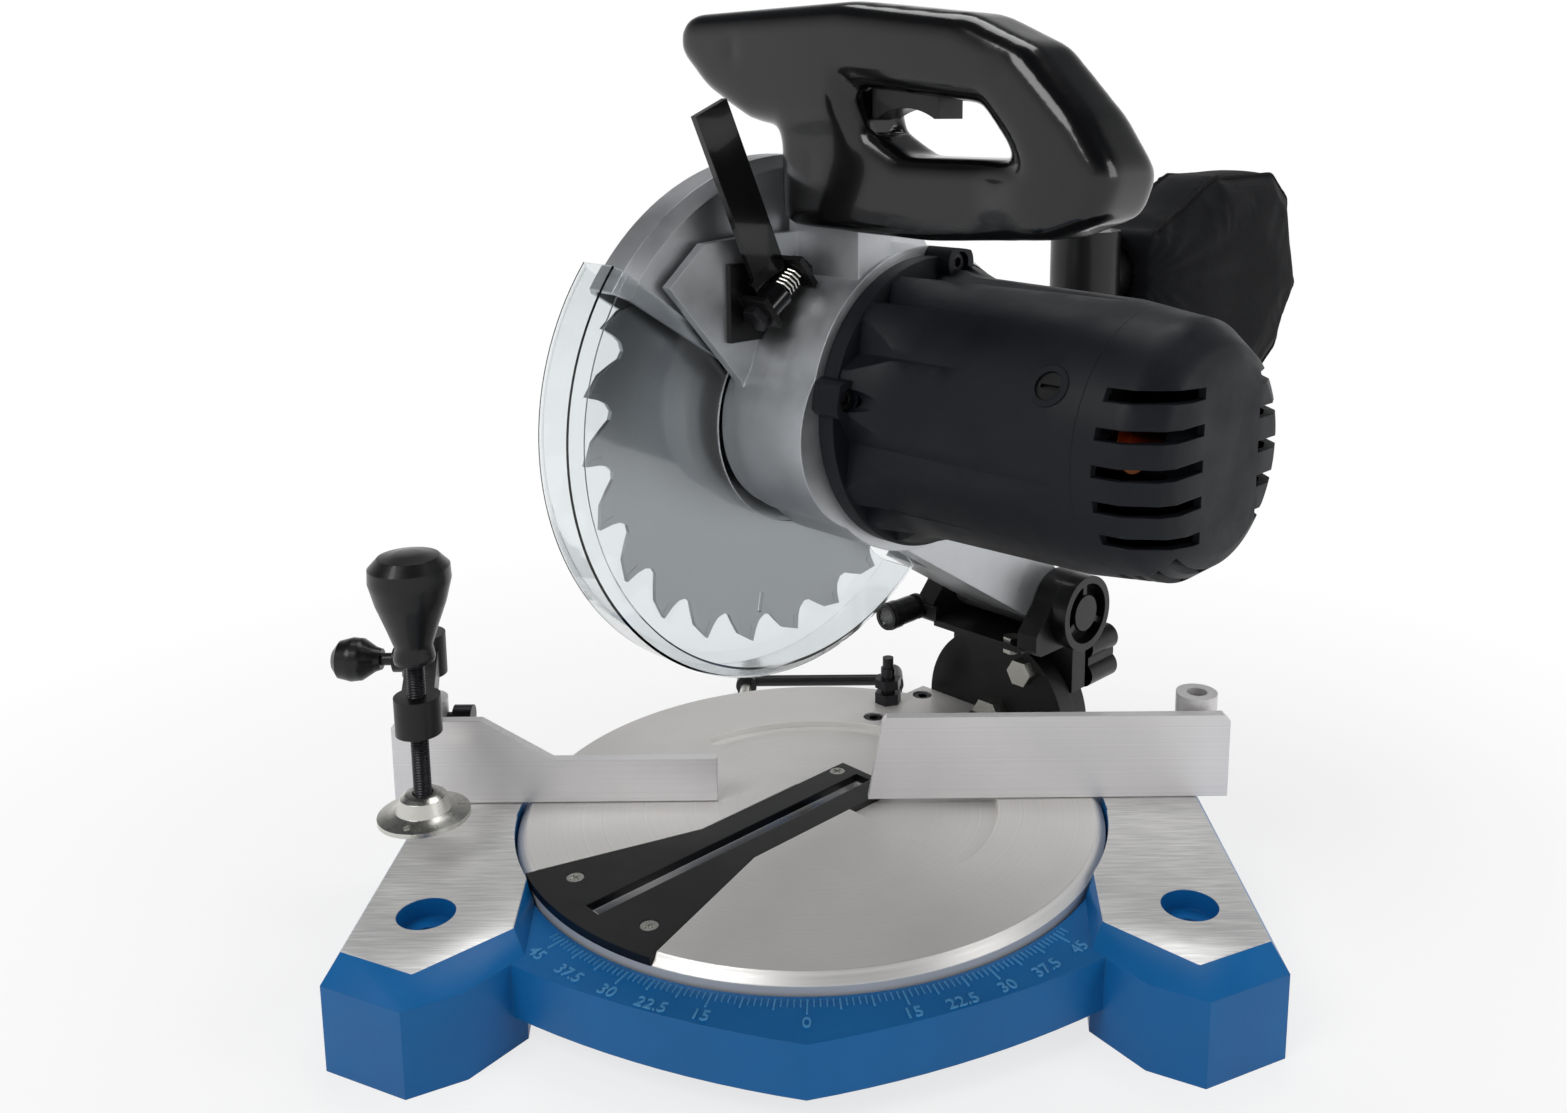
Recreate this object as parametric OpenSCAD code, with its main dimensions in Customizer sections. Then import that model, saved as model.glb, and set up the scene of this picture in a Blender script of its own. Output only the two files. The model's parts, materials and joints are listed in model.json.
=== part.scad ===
// Bench mitre saw for a 210 mm blade, drawn with the table turned to its left stop and the head raised.
// Frame: millimetres, +Z up, origin on the bench at the centre of the four bench bolts, front towards -Y.

/* [Base] */
// Height of the table top above the bench
table_h = 45; // [42:1:60]
// Half width of the base at its feet
base_half_w = 189; // [185:1:205]
// Half width across the machined wing tops
wing_half_w = 184; // [180:1:200]
// Front edge of the wings, from the mitre axis
wing_front = 130; // [126:1:140]
// Rear edge of the wings, from the mitre axis
wing_rear = 56; // [50:1:60]
// Reach of the scale apron's point in front of the mitre axis
apron_tip = 166; // [160:1:178]
// Half width of the apron where it meets the feet
apron_half_w = 118; // [110:1:124]
// Distance in front of the mitre axis where the apron meets the feet
apron_shoulder = 116; // [108:1:120]
// Bulge radius of each half of the apron
apron_bulge = 390; // [300:10:600]
// Bottom of the apron above the bench
apron_floor = 14; // [10:1:18]
// Wall thickness of the base casting
base_wall = 6; // [5:0.5:8]
// Spacing of the bench bolts from left to right
bench_x = 316; // [300:2:330]
// Spacing of the bench bolts from front to rear
bench_y = 132; // [120:2:136]
// Radius of a bench bolt hole
bench_r = 4.5; // [4:0.25:6]
// Radius of the counterbore round a bench bolt
bench_cb_r = 12; // [10:0.5:14]

/* [Turntable] */
// Radius of the turntable's rim
table_r = 138; // [132:1:142]
// Thickness of the turntable's top plate
table_t = 10; // [8:0.5:12]
// Bevel on the turntable's rim
table_bevel = 4; // [2:0.5:6]
// Angle that the table is turned to the left, as drawn
mitre_rest = 45; // [0:1:45]
// Radius of the cast pocket behind the fence
pocket_r = 88; // [80:1:95]
// Depth of that pocket
pocket_depth = 3; // [2:0.5:4]
// Half angle of the kerf insert
insert_half_angle = 18.5; // [14:0.5:20]
// Width of the saw slot in the insert
kerf_w = 9; // [7:0.5:12]
// Diameter of the mitre pivot bolt
pivot_d = 12; // [10:1:14]

/* [Fence] */
// Height of the tall ends of the fence above the table
fence_h = 42; // [36:1:48]
// Height of the low left part of the fence
fence_low_h = 22; // [18:1:26]
// Thickness of the fence wall
fence_t = 5; // [4:0.5:7]
// Half length of the whole fence
fence_half = 199; // [194:1:206]

/* [Blade] */
// Blade diameter
blade_d = 210; // [200:1:216]
// Width of the blade's plate
blade_t = 2.2; // [1.6:0.1:2.8]
// Number of teeth
teeth = 24; // [20:2:48]
// Bore of the blade
blade_bore = 30; // [20:1:30]
// Blade centre, behind the mitre axis with the head raised
blade_y = -18.5; // [-30:0.5:-10]
// Blade centre above the table with the head raised
blade_z = 195.3; // [190:0.5:205]

/* [Head] */
// Chop hinge, behind the mitre axis
hinge_y = 150; // [146:1:156]
// Chop hinge above the table
hinge_z = 67; // [64:1:74]
// Diameter of the hinge pin
hinge_d = 14; // [12:1:16]
// Inside radius of the fixed hood
hood_r = 109; // [108:0.5:112]
// Inside half width of the fixed hood
hood_half = 9.5; // [9:0.5:11]
// Wall thickness of the hood
hood_wall = 2.5; // [2:0.5:3]
// Outside radius of the clear guard
guard_r = 119; // [117:0.5:124]
// Wall thickness of the clear guard
guard_wall = 1.8; // [1.5:0.1:2.2]
// Room between the hood's sides and the guard's sides
guard_gap = 0.6; // [0.4:0.1:1]
// Inner edge of the guard's side wall
guard_eye = 48; // [46:1:56]

/* [Drive] */
// Gear module
gear_m = 1; // [0.9:0.05:1.1]
// Teeth on the motor pinion
pinion_z = 12; // [11:1:13]
// Teeth on the spindle gear
gear_z = 48; // [44:1:52]
// Direction from the spindle to the motor axis, above the horizontal
motor_angle = 15; // [5:1:20]
// Far end of the motor from the blade plane
motor_end = 204; // [196:1:214]
// Radius of the motor housing
motor_r = 55; // [53:1:58]
// Wall thickness of the plastic housings
shell = 3; // [2.5:0.5:4]

/* [Handle] */
// Left end of the grip from the blade plane
handle_left = -42; // [-50:1:-30]
// Right end of the loop from the blade plane
handle_right = 184; // [176:1:194]
// Top of the grip above the table
handle_top = 366; // [355:1:375]
// Plane of the loop in front of the mitre axis
handle_y = -22; // [-28:1:-18]
// Thickness of the grip from front to rear
grip_t = 38; // [32:1:42]

/* [Clamp] */
// Clamp post, to the left of the mitre axis
post_x = -187; // [-192:1:-180]
// Clamp post, behind the fence face
post_y = 18; // [14:1:24]
// Diameter of the clamp post
post_d = 10; // [8:0.5:12]
// Top of the clamp post above the table
post_top = 118; // [110:1:130]
// Clamp screw, to the left of the mitre axis
screw_x = -172; // [-176:1:-169]
// Clamp screw, behind the fence face
screw_y = -43; // [-46:1:-41]
// Diameter of the clamp screw
screw_d = 8; // [6:1:10]
// Diameter of the pressure pad
pad_d = 40; // [34:1:44]
// Height of the pressure pad above the table, as drawn
pad_z = 17; // [12:1:20]

/* [Rear stay] */
// Half distance between the stay's rods
stay_half = 47; // [42:1:55]
// Rear end of the stay, from the mitre axis
stay_rear = 235; // [200:5:260]
// Diameter of the stay's rods
stay_d = 7; // [6:0.5:9]

/* [Hidden] */
$fn = 64;

// Running and seating clearances
gap = 0.3;
run = 0.05;
cut = 1;

// Places worked out from the driving sizes
bench_front = 92;
mitre_y = bench_front - bench_y / 2;
table_gap = 1.2;
table_skirt = 2;
mount_t = 10;
mount_half = 50;
mount_r = 46;
mount_face = hinge_y;
mount_back = 12;
stud_x = 20;
stud_z = 30;
stud_d = 8;
bevel_d = 10;
bevel_head = 10;
bracket_t = 12;
ear_left = -28;
ear_right = 30;
ear_t = 12;
ear_r = 20;
barrel_r = 14;
hood_out = hood_half + hood_wall;
guard_in = hood_out + guard_gap;
guard_out = guard_in + guard_wall;
case_left = guard_out + 1;
case_right = 58;
neck_r = 44;
centre_gap = gear_m * (pinion_z + gear_z) / 2;
motor_dy = centre_gap * cos(motor_angle);
motor_dz = centre_gap * sin(motor_angle);
spindle_r = 8;
hub_r = 18;

// Place children at the mitre axis on the table's level, without and with the table's turn
module at_mitre() translate([0, mitre_y, table_h]) children();
module at_table() at_mitre() rotate([0, 0, -mitre_rest]) children();
module at_spindle() at_table() translate([0, blade_y, blade_z]) children();
module at_motor() at_spindle() translate([0, motor_dy, motor_dz]) children();
module at_hinge() at_table() translate([0, hinge_y, hinge_z]) children();

// A round bar along X, along Y or along Z between two places
module bar_x(r, x0, x1) translate([x0, 0, 0]) rotate([0, 90, 0]) cylinder(r = r, h = x1 - x0);
module bar_y(r, y0, y1) translate([0, y0, 0]) rotate([-90, 0, 0]) cylinder(r = r, h = y1 - y0);
module bar_z(r, z0, z1) translate([0, 0, z0]) cylinder(r = r, h = z1 - z0);

// A flat outline in Y and Z, carried along X, and one in X and Z, carried along Y
module side(x0, x1) translate([x0, 0, 0]) rotate([90, 0, 90]) linear_extrude(x1 - x0) children();
module front(y0, y1) translate([0, y1, 0]) rotate([90, 0, 0]) linear_extrude(y1 - y0) children();

// Left and right copies
module both() { children(); mirror([1, 0, 0]) children(); }

// A wedge of the plane between two angles
module wedge(r, a0, a1) polygon([[0, 0], for (i = [0 : 8]) let (a = a0 + (a1 - a0) * i / 8)
    r * 1.3 * [cos(a), sin(a)]]);

// A hexagon across flats
module hex(af) circle(d = af / cos(30), $fn = 6);

// Socket screw, head upwards with its seat on the origin
module cap_screw(d, length, head_h = 0) {
    h = head_h > 0 ? head_h : d * 0.9;
    difference() {
        union() { bar_z(d * 0.8, 0, h); bar_z(d / 2, -length, 0); }
        translate([0, 0, h - d * 0.5]) linear_extrude(d) hex(d * 0.8);
    }
}

// One unbroken coil of round wire about Z: rings of points joined into a closed tube
coil_sides = 6;
coil_rings = 8;
function coil_point(r, pitch, t) = [r * cos(360 * t), r * sin(360 * t), pitch * t];
function coil_ring(r, pitch, wire, t) =
    let (out = [cos(360 * t), sin(360 * t), 0])
    [for (k = [0 : coil_sides - 1]) let (a = 360 * k / coil_sides)
        coil_point(r, pitch, t) + wire * (cos(a) * out + sin(a) * [0, 0, 1])];
// Radius at which a coil clears the rod that it sits on
function coil_on(rod_r, wire) = (rod_r + wire + 0.1) / cos(180 / coil_rings);
module coil(r, pitch, wire, turns) {
    n = turns * coil_rings;
    points = [for (i = [0 : n]) each coil_ring(r, pitch, wire, i / coil_rings)];
    walls = [for (i = [0 : n - 1], k = [0 : coil_sides - 1])
        let (a = i * coil_sides + k, b = i * coil_sides + (k + 1) % coil_sides)
        each [[a, a + coil_sides, b], [b, a + coil_sides, b + coil_sides]]];
    last = n * coil_sides;
    caps = [for (k = [1 : coil_sides - 2])
        each [[0, k, k + 1], [last, last + k + 1, last + k]]];
    polyhedron(points = points, faces = concat(walls, caps), convexity = 10);
    echo(coil_self_gap = pitch - 2 * wire);
}

// Involute gear outline about the origin, with one tooth centred on +X
pressure = 25;
backlash = 0.35;
function involute(rb, r) = let (a = acos(rb / r)) [r, tan(a) * 180 / PI - a];
function flank(z) =
    let (rp = gear_m * z / 2, rb = rp * cos(pressure), ra = rp + 0.85 * gear_m,
         half = 90 / z - backlash / (2 * rp) * 180 / PI + involute(rb, rp)[1])
    [for (i = [0 : 4]) let (r = max(rb + 0.01, rp - gear_m) + (ra - max(rb + 0.01, rp - gear_m)) * i / 4,
        p = involute(rb, r)) [p[0], half - p[1]]];
module gear_outline(z) {
    f = flank(z);
    root = gear_m * z / 2 - 1.2 * gear_m;
    polygon([for (t = [0 : z - 1]) let (m = 360 * t / z) each concat(
        [root * [cos(m - 180 / z), sin(m - 180 / z)], root * [cos(m - f[0][1]), sin(m - f[0][1])]],
        [for (p = f) p[0] * [cos(m - p[1]), sin(m - p[1])]],
        [for (i = [4 : -1 : 0]) f[i][0] * [cos(m + f[i][1]), sin(m + f[i][1])]],
        [root * [cos(m + f[0][1]), sin(m + f[0][1])]])]);
}

// Base
foot_in = 132;
foot_nose_x = 153;
foot_nose = wing_front + 15;
wing_in = table_r + table_gap;
chamfer_h = 8;
ring_in = 118;
ring_low = 15;
scale_top = table_h - 7.5;
scale_edge = 36.5;
web_t = 6;
hub_out = 19;
module foot_outline() polygon([[foot_in - 18, -(apron_shoulder - 6)], [foot_in, -(foot_nose - 11)],
    [foot_nose_x, -foot_nose], [base_half_w, -(wing_front - 2)], [base_half_w, wing_rear], [foot_in,
        wing_rear]]);
module wing_outline() polygon([[foot_in - 12, -(apron_shoulder - 14)], [foot_nose_x - 1, -(wing_front + 2)],
    [wing_half_w, -(wing_front - 13)], [wing_half_w, wing_rear - 5], [foot_in, wing_rear - 5]]);
// Each half of the apron's front is one arc from the point to the shoulder
module apron_outline() {
    shoulder = [apron_half_w, -apron_shoulder];
    tip = [0, -apron_tip];
    chord = norm(shoulder - tip);
    mid = (shoulder + tip) / 2;
    along = (shoulder - tip) / chord;
    centre = mid + sqrt(apron_bulge * apron_bulge - chord * chord / 4) * [-along[1], along[0]];
    intersection() {
        translate(centre) circle(apron_bulge, $fn = 180);
        mirror([1, 0]) translate(centre) circle(apron_bulge, $fn = 180);
        translate([-apron_half_w - 20, -apron_tip - 5]) square([2 * apron_half_w + 40, apron_tip + 5]);
    }
}
module base_shape() {
    both() {
        linear_extrude(table_h - chamfer_h) foot_outline();
        hull() {
            translate([0, 0, table_h - chamfer_h]) linear_extrude(0.01) foot_outline();
            translate([0, 0, table_h - 0.01]) linear_extrude(0.01) wing_outline();
        }
    }
    intersection() {
        translate([0, 0, apron_floor]) linear_extrude(table_h) apron_outline();
        rotate_extrude($fn = 128) polygon([[0, 0], [apron_tip + 20, 0], [apron_tip + 20, scale_edge],
            [table_r + 2, scale_top], [0, scale_top]]);
    }
    translate([0, 0, 4]) cylinder(r = table_r + 1, h = table_h - 14, $fn = 128);
}
module base_casting() color("steelblue") translate([0, mitre_y, 0]) difference() {
    union() {
        difference() {
            base_shape();
            translate([0, 0, table_h - table_t - table_skirt - gap]) cylinder(r = wing_in, h = 40,
                $fn = 128);
            translate([0, 0, -cut]) cylinder(r = ring_in, h = table_h, $fn = 128);
            translate([-wing_in, -12, ring_low]) cube([2 * wing_in, wing_in + 40, 60]);
            both() difference() {
                translate([0, 0, -cut]) linear_extrude(table_h - base_wall - chamfer_h + cut) polygon([
                    [wing_in + base_wall, -(wing_front - 12)], [foot_nose_x, -(foot_nose - 2 * base_wall)],
                    [base_half_w - base_wall, -(wing_front - base_wall)],
                    [base_half_w - base_wall, wing_rear - base_wall], [wing_in + base_wall,
                        wing_rear - base_wall]]);
                for (y = [-bench_front, bench_y - bench_front])
                    translate([bench_x / 2, y, -cut]) cylinder(r = bench_cb_r + base_wall, h = table_h);
            }
        }
        both() intersection() {
            translate([wing_in, -200, table_h - chamfer_h - 4]) cube([60, 400, 60]);
            base_shape();
        }
        difference() {
            translate([0, 0, 6]) cylinder(r = ring_in + 2, h = web_t);
            for (a = [0 : 45 : 315]) rotate(a + 22.5) translate([72, 0, 0]) cylinder(r = 20, h = 30);
        }
        bar_z(hub_out, 6, table_h - table_t - table_skirt - gap);
    }
    bar_z(pivot_d / 2 + run, -cut, table_h);
    both() for (y = [-bench_front, bench_y - bench_front]) translate([bench_x / 2, y, 0]) {
        bar_z(bench_r, -cut, table_h + cut);
        bar_z(bench_cb_r, table_h - 9, table_h + cut);
    }
    both() translate([stay_half, 0, stay_z]) bar_y(stay_d / 2 + run, ring_in - 10, table_r + 30);
    both() for (x = fence_bolts) translate([x, fence_t + 9, 0]) bar_z(3, table_h - 22, table_h + cut);
}
stay_z = 9;
post_foot = 2;
fence_bolts = [150, 172];

// Turntable
tongue_half = 52;
tongue_rear = mount_face - mount_back - gap;
insert_in = 34;
insert_t = 4;
insert_gap = 0.2;
module insert_outline(grow = 0) intersection() {
    circle(table_r + 0.4 + grow, $fn = 128);
    union() {
        difference() {
            rotate(-90) wedge(table_r, -insert_half_angle - grow / 2, insert_half_angle + grow / 2);
            circle(insert_in - grow);
        }
        translate([-18 - grow, -60]) square([36 + 2 * grow, 98 + grow]);
    }
}
// The slot opens to the right below the table, where a tilted blade runs
module kerf_outline() polygon([[-kerf_w / 2, 5], [kerf_w / 2, 5], [kerf_w / 2, 0], [kerf_w / 2 + 20,
    -20], [-kerf_w / 2, -20]]);
module turntable() color("gainsboro") at_table() difference() {
    union() {
        rotate_extrude($fn = 128) polygon([[0, -table_t], [table_r - 12, -table_t], [table_r - 12,
            -table_t - table_skirt],
            [table_r, -table_t - table_skirt], [table_r, -table_bevel], [table_r - table_bevel, 0], [0,
                0]]);
        translate([-tongue_half, 60, -table_t]) cube([2 * tongue_half, tongue_rear - 60, table_t]);
        bar_z(hub_out - 2, -table_t - table_skirt, -1);
    }
    translate([0, 0, -insert_t]) linear_extrude(20) insert_outline(insert_gap);
    intersection() {
        bar_z(pocket_r, -pocket_depth, cut);
        translate([-pocket_r, 6, -10]) cube([2 * pocket_r, pocket_r, 20]);
    }
    translate([-mount_half - gap, 76 - gap, -30]) cube([2 * (mount_half + gap), 100, 30 - table_t]);
    translate([-tongue_half, tongue_rear, -30]) cube([2 * tongue_half, 20, 60]);
    translate([-bevel_head - 1, tongue_rear - 9, -30]) cube([2 * bevel_head + 2, 20, 60]);
    front(-table_r + 14, 32) kerf_outline();
    bar_z(pivot_d / 2 + run, -30, -insert_t - 3);
    both() for (y = mount_screw_y) translate([mount_screw_x, y, 0]) {
        bar_z(3 + run, -30, cut);
        bar_z(5.5, -5.2, cut);
    }
    both() translate([stop_x, stop_y, 0]) bar_z(stop_d / 2 + run, -30, cut);
    both() for (p = insert_screw_at) translate(p) bar_z(2, -9, cut);
}
mount_screw_x = 44;
mount_screw_y = [88, 128];
stop_x = 52;
stop_y = 108;
stop_d = 8;
insert_screw_at = [[26, -118], [14, 30]];
module kerf_insert() color("#1c1c1e") at_table() difference() {
    translate([0, 0, -insert_t]) linear_extrude(insert_t - 0.2) insert_outline();
    front(-table_r + 10, 34) kerf_outline();
    both() for (p = insert_screw_at) translate(p) { bar_z(2.1, -30, cut); bar_z(4, -2, cut); }
}
module insert_screws() color("dimgray") at_table() both() for (p = insert_screw_at) translate([p[0],
    p[1], -2])
    difference() {
        union() { bar_z(3.8, 0, 1.6); bar_z(1.95, -6, 0.5); }
        for (a = [0, 90]) rotate(a) translate([-2.4, -0.5, 0.8]) cube([4.8, 1, 2]);
    }
module mount_screws() color("#2a2a2c") at_table() both() for (y = mount_screw_y)
    translate([mount_screw_x, y, -5.2]) cap_screw(6, 12, 4.6);
module stop_bolts() color("#1a1a1c") at_table() both() translate([stop_x, stop_y, 0]) {
    bar_z(stop_d / 2, -table_t - 2, 20);
    translate([0, 0, 0]) linear_extrude(6) hex(13);
    translate([0, 0, 9]) linear_extrude(5) hex(13);
    bar_z(stop_d / 2 - 1, 20, 26);
}
module pivot_bolt() color("silver") at_mitre() {
    bar_z(pivot_d / 2, -table_h + 2, -insert_t - 4);
    translate([0, 0, -table_h + 1]) bar_z(pivot_d / 2 - 1, 0, 2);
}
module pivot_nut() color("silver") translate([0, mitre_y, 0]) difference() {
    union() {
        translate([0, 0, 5.2]) bar_z(pivot_d, -1.2, 0.8);
        translate([0, 0, -4.6 + 6]) linear_extrude(3) hex(19);
    }
    bar_z(pivot_d / 2 + run, -cut, 20);
}

// Tilt mount under the table's tongue, with its upright plate behind
module tilt_mount() color("#1b1b1d") at_table() difference() {
    union() {
        translate([-mount_half, 76, -table_t - mount_t]) cube([2 * mount_half, mount_face - 76, mount_t]);
        front(mount_face - mount_back, mount_face) difference() {
            union() { circle(mount_r); translate([-mount_r, -table_t - mount_t]) square([2 * mount_r,
                table_t + mount_t]); }
            translate([-100, -100 - table_t - mount_t]) square([200, 100]);
        }
    }
    bar_y(bevel_d / 2 + run, 60, 200);
    translate([stud_x, 0, stud_z]) bar_y(stud_d / 2 + run, 100, 200);
    both() for (y = mount_screw_y) translate([mount_screw_x, y, 0]) bar_z(3 + run, -40, 0);
    both() translate([stop_x, stop_y, 0]) bar_z(stop_d / 2 + 1, -40, 0);
    translate([-24, 60, -table_t - mount_t - cut]) cube([48, 60, 40]);
}
module bevel_bolt() color("silver") at_table() {
    bar_y(bevel_d / 2, mount_face - mount_back - 2, mount_face + bracket_t + gap + 3);
    front(mount_face - mount_back - 8, mount_face - mount_back) hex(17);
    front(mount_face + bracket_t + gap + 0.2, mount_face + bracket_t + 7) hex(17);
}
module lock_stud() color("silver") at_table() translate([stud_x, 0, stud_z]) {
    bar_y(stud_d / 2, mount_face - mount_back, knob_y + 24);
    front(mount_face - mount_back - 6, mount_face - mount_back) hex(13);
}
knob_y = mount_face + bracket_t + 3;
knob_r = 23;
module bevel_knob() color("#161618") at_table() translate([stud_x, 0, stud_z]) difference() {
    union() {
        bar_y(10, knob_y - 1.5, knob_y + 30);
        front(knob_y + 6, knob_y + 30) union() {
            circle(knob_r - 5);
            for (a = [30 : 60 : 330]) rotate(a) translate([knob_r - 7, 0]) circle(7);
        }
        bar_y(knob_r - 8, knob_y + 30, knob_y + 33);
    }
    bar_y(stud_d / 2 + run, 100, knob_y + 25);
}

// Fence halves, bolted to the wings behind the fence line
fence_lift = 0.5;
fence_gap_left = -46;
fence_gap_right = 26;
fence_foot = 24;
socket_r = post_d / 2 + 5;
socket_h = 46;
module fence_left_outline() polygon([[-fence_half, fence_lift], [-fence_half, fence_h - 3],
    [-fence_half + 3, fence_h],
    [-157, fence_h], [-124, fence_low_h], [fence_gap_left, fence_low_h], [fence_gap_left, fence_lift]]);
module fence_right_outline() polygon([[fence_gap_right, fence_lift], [fence_gap_right + 7,
    fence_h - 2], [fence_gap_right + 9, fence_h],
    [fence_half - 3, fence_h], [fence_half, fence_h - 3], [fence_half, fence_lift]]);
// Foot, clamp socket and ribs of one fence half, drawn for the left side
module fence_seat() difference() {
    union() {
        translate([-fence_half + 1, fence_t - 1, 0]) cube([fence_half - wing_in - 2,
            fence_foot - fence_t + 4, 8]);
        translate([post_x, post_y, 0]) bar_z(socket_r, 0, socket_h);
        for (x = [-wing_in - 8, -162]) translate([x, 0, 0]) side(0, 4) polygon([[fence_t - 1, 0],
            [fence_foot, 0], [fence_t - 1, 20]]);
    }
    translate([post_x, post_y, 0]) bar_z(post_d / 2 + run, post_foot, socket_h + cut);
    for (x = fence_bolts) translate([-x, fence_t + 9, 0]) { bar_z(3 + run, -cut, 30); bar_z(5.6, 5, 30); }
}
module fence_left() color("lightgray") at_mitre() difference() {
    union() {
        difference() {
            front(0, fence_t) fence_left_outline();
            translate([post_x, post_y, 0]) bar_z(post_d / 2 + run, post_foot, socket_h + cut);
        }
        fence_seat();
    }
    translate([post_x, post_y, post_lock_z]) bar_x(2.5 + run, 0, 40);
}
post_lock_z = 36;
module fence_right() color("lightgray") at_mitre() {
    difference() {
        front(0, fence_t) fence_right_outline();
        translate([-post_x, post_y, 0]) bar_z(post_d / 2 + run, post_foot, socket_h + cut);
    }
    mirror([1, 0, 0]) fence_seat();
}
module fence_screws() color("#2a2a2c") at_mitre() both() for (x = fence_bolts)
    translate([x, fence_t + 9, 5]) cap_screw(6, 20);
module post_lock_screw() color("#1c1c1e") at_mitre() translate([post_x, post_y, post_lock_z]) {
    bar_x(2.5, post_d / 2 + 0.2, socket_r + 6);
    bar_x(6, socket_r + 3, socket_r + 12);
}

// Workpiece clamp
arm_low = 59;
arm_high = 76;
module clamp_post() color("silver") at_mitre() translate([post_x, post_y, 0]) {
    bar_z(post_d / 2, post_foot + 0.2, post_top - 1);
    translate([0, 0, post_top - 1]) cylinder(r1 = post_d / 2, r2 = post_d / 2 - 1, h = 1);
}
arm_reach = norm([screw_x - post_x, screw_y - post_y]);
arm_turn = atan2(screw_y - post_y, screw_x - post_x);
module clamp_arm() color("#1a1a1c") at_mitre() translate([post_x, post_y, 0]) rotate(arm_turn)
    difference() {
    union() {
        bar_z(post_d / 2 + 5.5, arm_low, arm_high + 3);
        translate([arm_reach, 0, 0]) bar_z(screw_d / 2 + 6, arm_low - 2, arm_high - 2);
        translate([0, -7, arm_low]) cube([arm_reach, 14, arm_high - arm_low - 3]);
        rotate(180 - arm_turn) translate([0, 0, lock_z]) bar_x(6.2, 0, post_d / 2 + 9);
    }
    bar_z(post_d / 2 + run, arm_low - 5, arm_high + 5);
    translate([arm_reach, 0, 0]) bar_z(screw_d / 2 + run, arm_low - 5, arm_high + 5);
    rotate(180 - arm_turn) translate([0, 0, lock_z]) bar_x(3 + run, 0, 40);
}
lock_z = 66;
module arm_lock_knob() color("#161618") at_mitre() translate([post_x, post_y, lock_z]) rotate([0, 0, 180]) {
    bar_x(3, post_d / 2 + 0.2, post_d / 2 + 20);
    rotate([0, 90, 0]) rotate_extrude() polygon([[0, 20], [5, 20], [6, 23], [10, 29], [10.5, 34], [9,
        40], [5, 43], [0, 44]]);
}
screw_top = 96;
module clamp_screw() color("#333336") at_mitre() translate([screw_x, screw_y, 0]) {
    bar_z(screw_d / 2, pad_z + 8, screw_top);
    translate([0, 0, pad_z + 6]) sphere(r = 5.5);
}
module clamp_knob() color("#141416") at_mitre() translate([screw_x, screw_y, screw_top - 6]) difference() {
    rotate_extrude() polygon([[0, 0], [8.5, 0], [9, 2], [8, 7], [11, 16], [15, 27], [17.5, 37], [17.2,
        43], [13, 47.5], [5, 49], [0, 49]]);
    bar_z(screw_d / 2 + 0.01, -cut, 6);
}
module clamp_pad() color("silver") at_mitre() translate([screw_x, screw_y, pad_z]) difference() {
    rotate_extrude() polygon([[0, 0], [pad_d / 2, 0], [pad_d / 2, 2], [pad_d / 2 - 5, 3], [12, 4], [10,
        10], [7.5, 11.5], [0, 11.5]]);
    translate([0, 0, 6]) sphere(r = 5.5 + run);
    bar_z(screw_d / 2 + 0.6, 6, 30);
    for (a = [20, 140, 260]) rotate(a) translate([pad_d / 2 - 4, 0, 0]) bar_z(1.6, -cut, 10);
}

// Rear stay that keeps the saw from tipping back
module stay_rods() color("silver") translate([0, mitre_y, stay_z]) both() translate([stay_half, 0, 0])
    bar_y(stay_d / 2, ring_in - 2, stay_rear + 8);
module stay_bar() color("#1a1a1c") translate([0, mitre_y + stay_rear, 0]) difference() {
    union() {
        translate([0, -8, stay_z]) bar_x(3.5, -stay_half, stay_half);
        both() translate([stay_half, -16, 0]) {
            translate([0, 0, stay_z]) bar_y(stay_d / 2 + 3, 0, 18);
            translate([-stay_d / 2 - 2, 0, 0]) cube([stay_d + 4, 18, stay_z]);
        }
    }
    both() translate([stay_half, 0, stay_z]) bar_y(stay_d / 2 + 0.01, -60, 60);
}

// Tilt bracket: slotted plate behind the mount, two ears for the chop hinge
slot_half = stud_d / 2 + 0.4;
stud_out = norm([stud_x, stud_z]);
stud_angle = atan2(stud_z, stud_x);
ear_front = 118;
web_low = 47.5;
web_high = 51;
module tilt_plate() difference() {
    union() {
        circle(28);
        intersection() { circle(mount_r - 2); translate([-60, 0]) square([120, 60]); }
        translate([ear_left - ear_t, 20]) square([ear_right - ear_left + 2 * ear_t, hinge_z - 20]);
    }
    circle(bevel_d / 2 + run);
    difference() {
        circle(stud_out + slot_half);
        circle(stud_out - slot_half);
        wedge(100, stud_angle, stud_angle + 314);
    }
    for (a = [0, -46]) rotate(stud_angle + a) translate([stud_out, 0]) circle(slot_half);
}
module ear_outline() difference() {
    union() {
        translate([hinge_y, hinge_z]) circle(ear_r);
        polygon([[ear_front, 52], [ear_front + 4, web_low + 1], [mount_face + bracket_t, web_low + 1],
            [mount_face + bracket_t, hinge_z + 10], [hinge_y, hinge_z + ear_r], [hinge_y - ear_r + 4,
                hinge_z + 10], [ear_front, 60]]);
    }
    translate([hinge_y, hinge_z]) circle(hinge_d / 2 + run);
}
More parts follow.
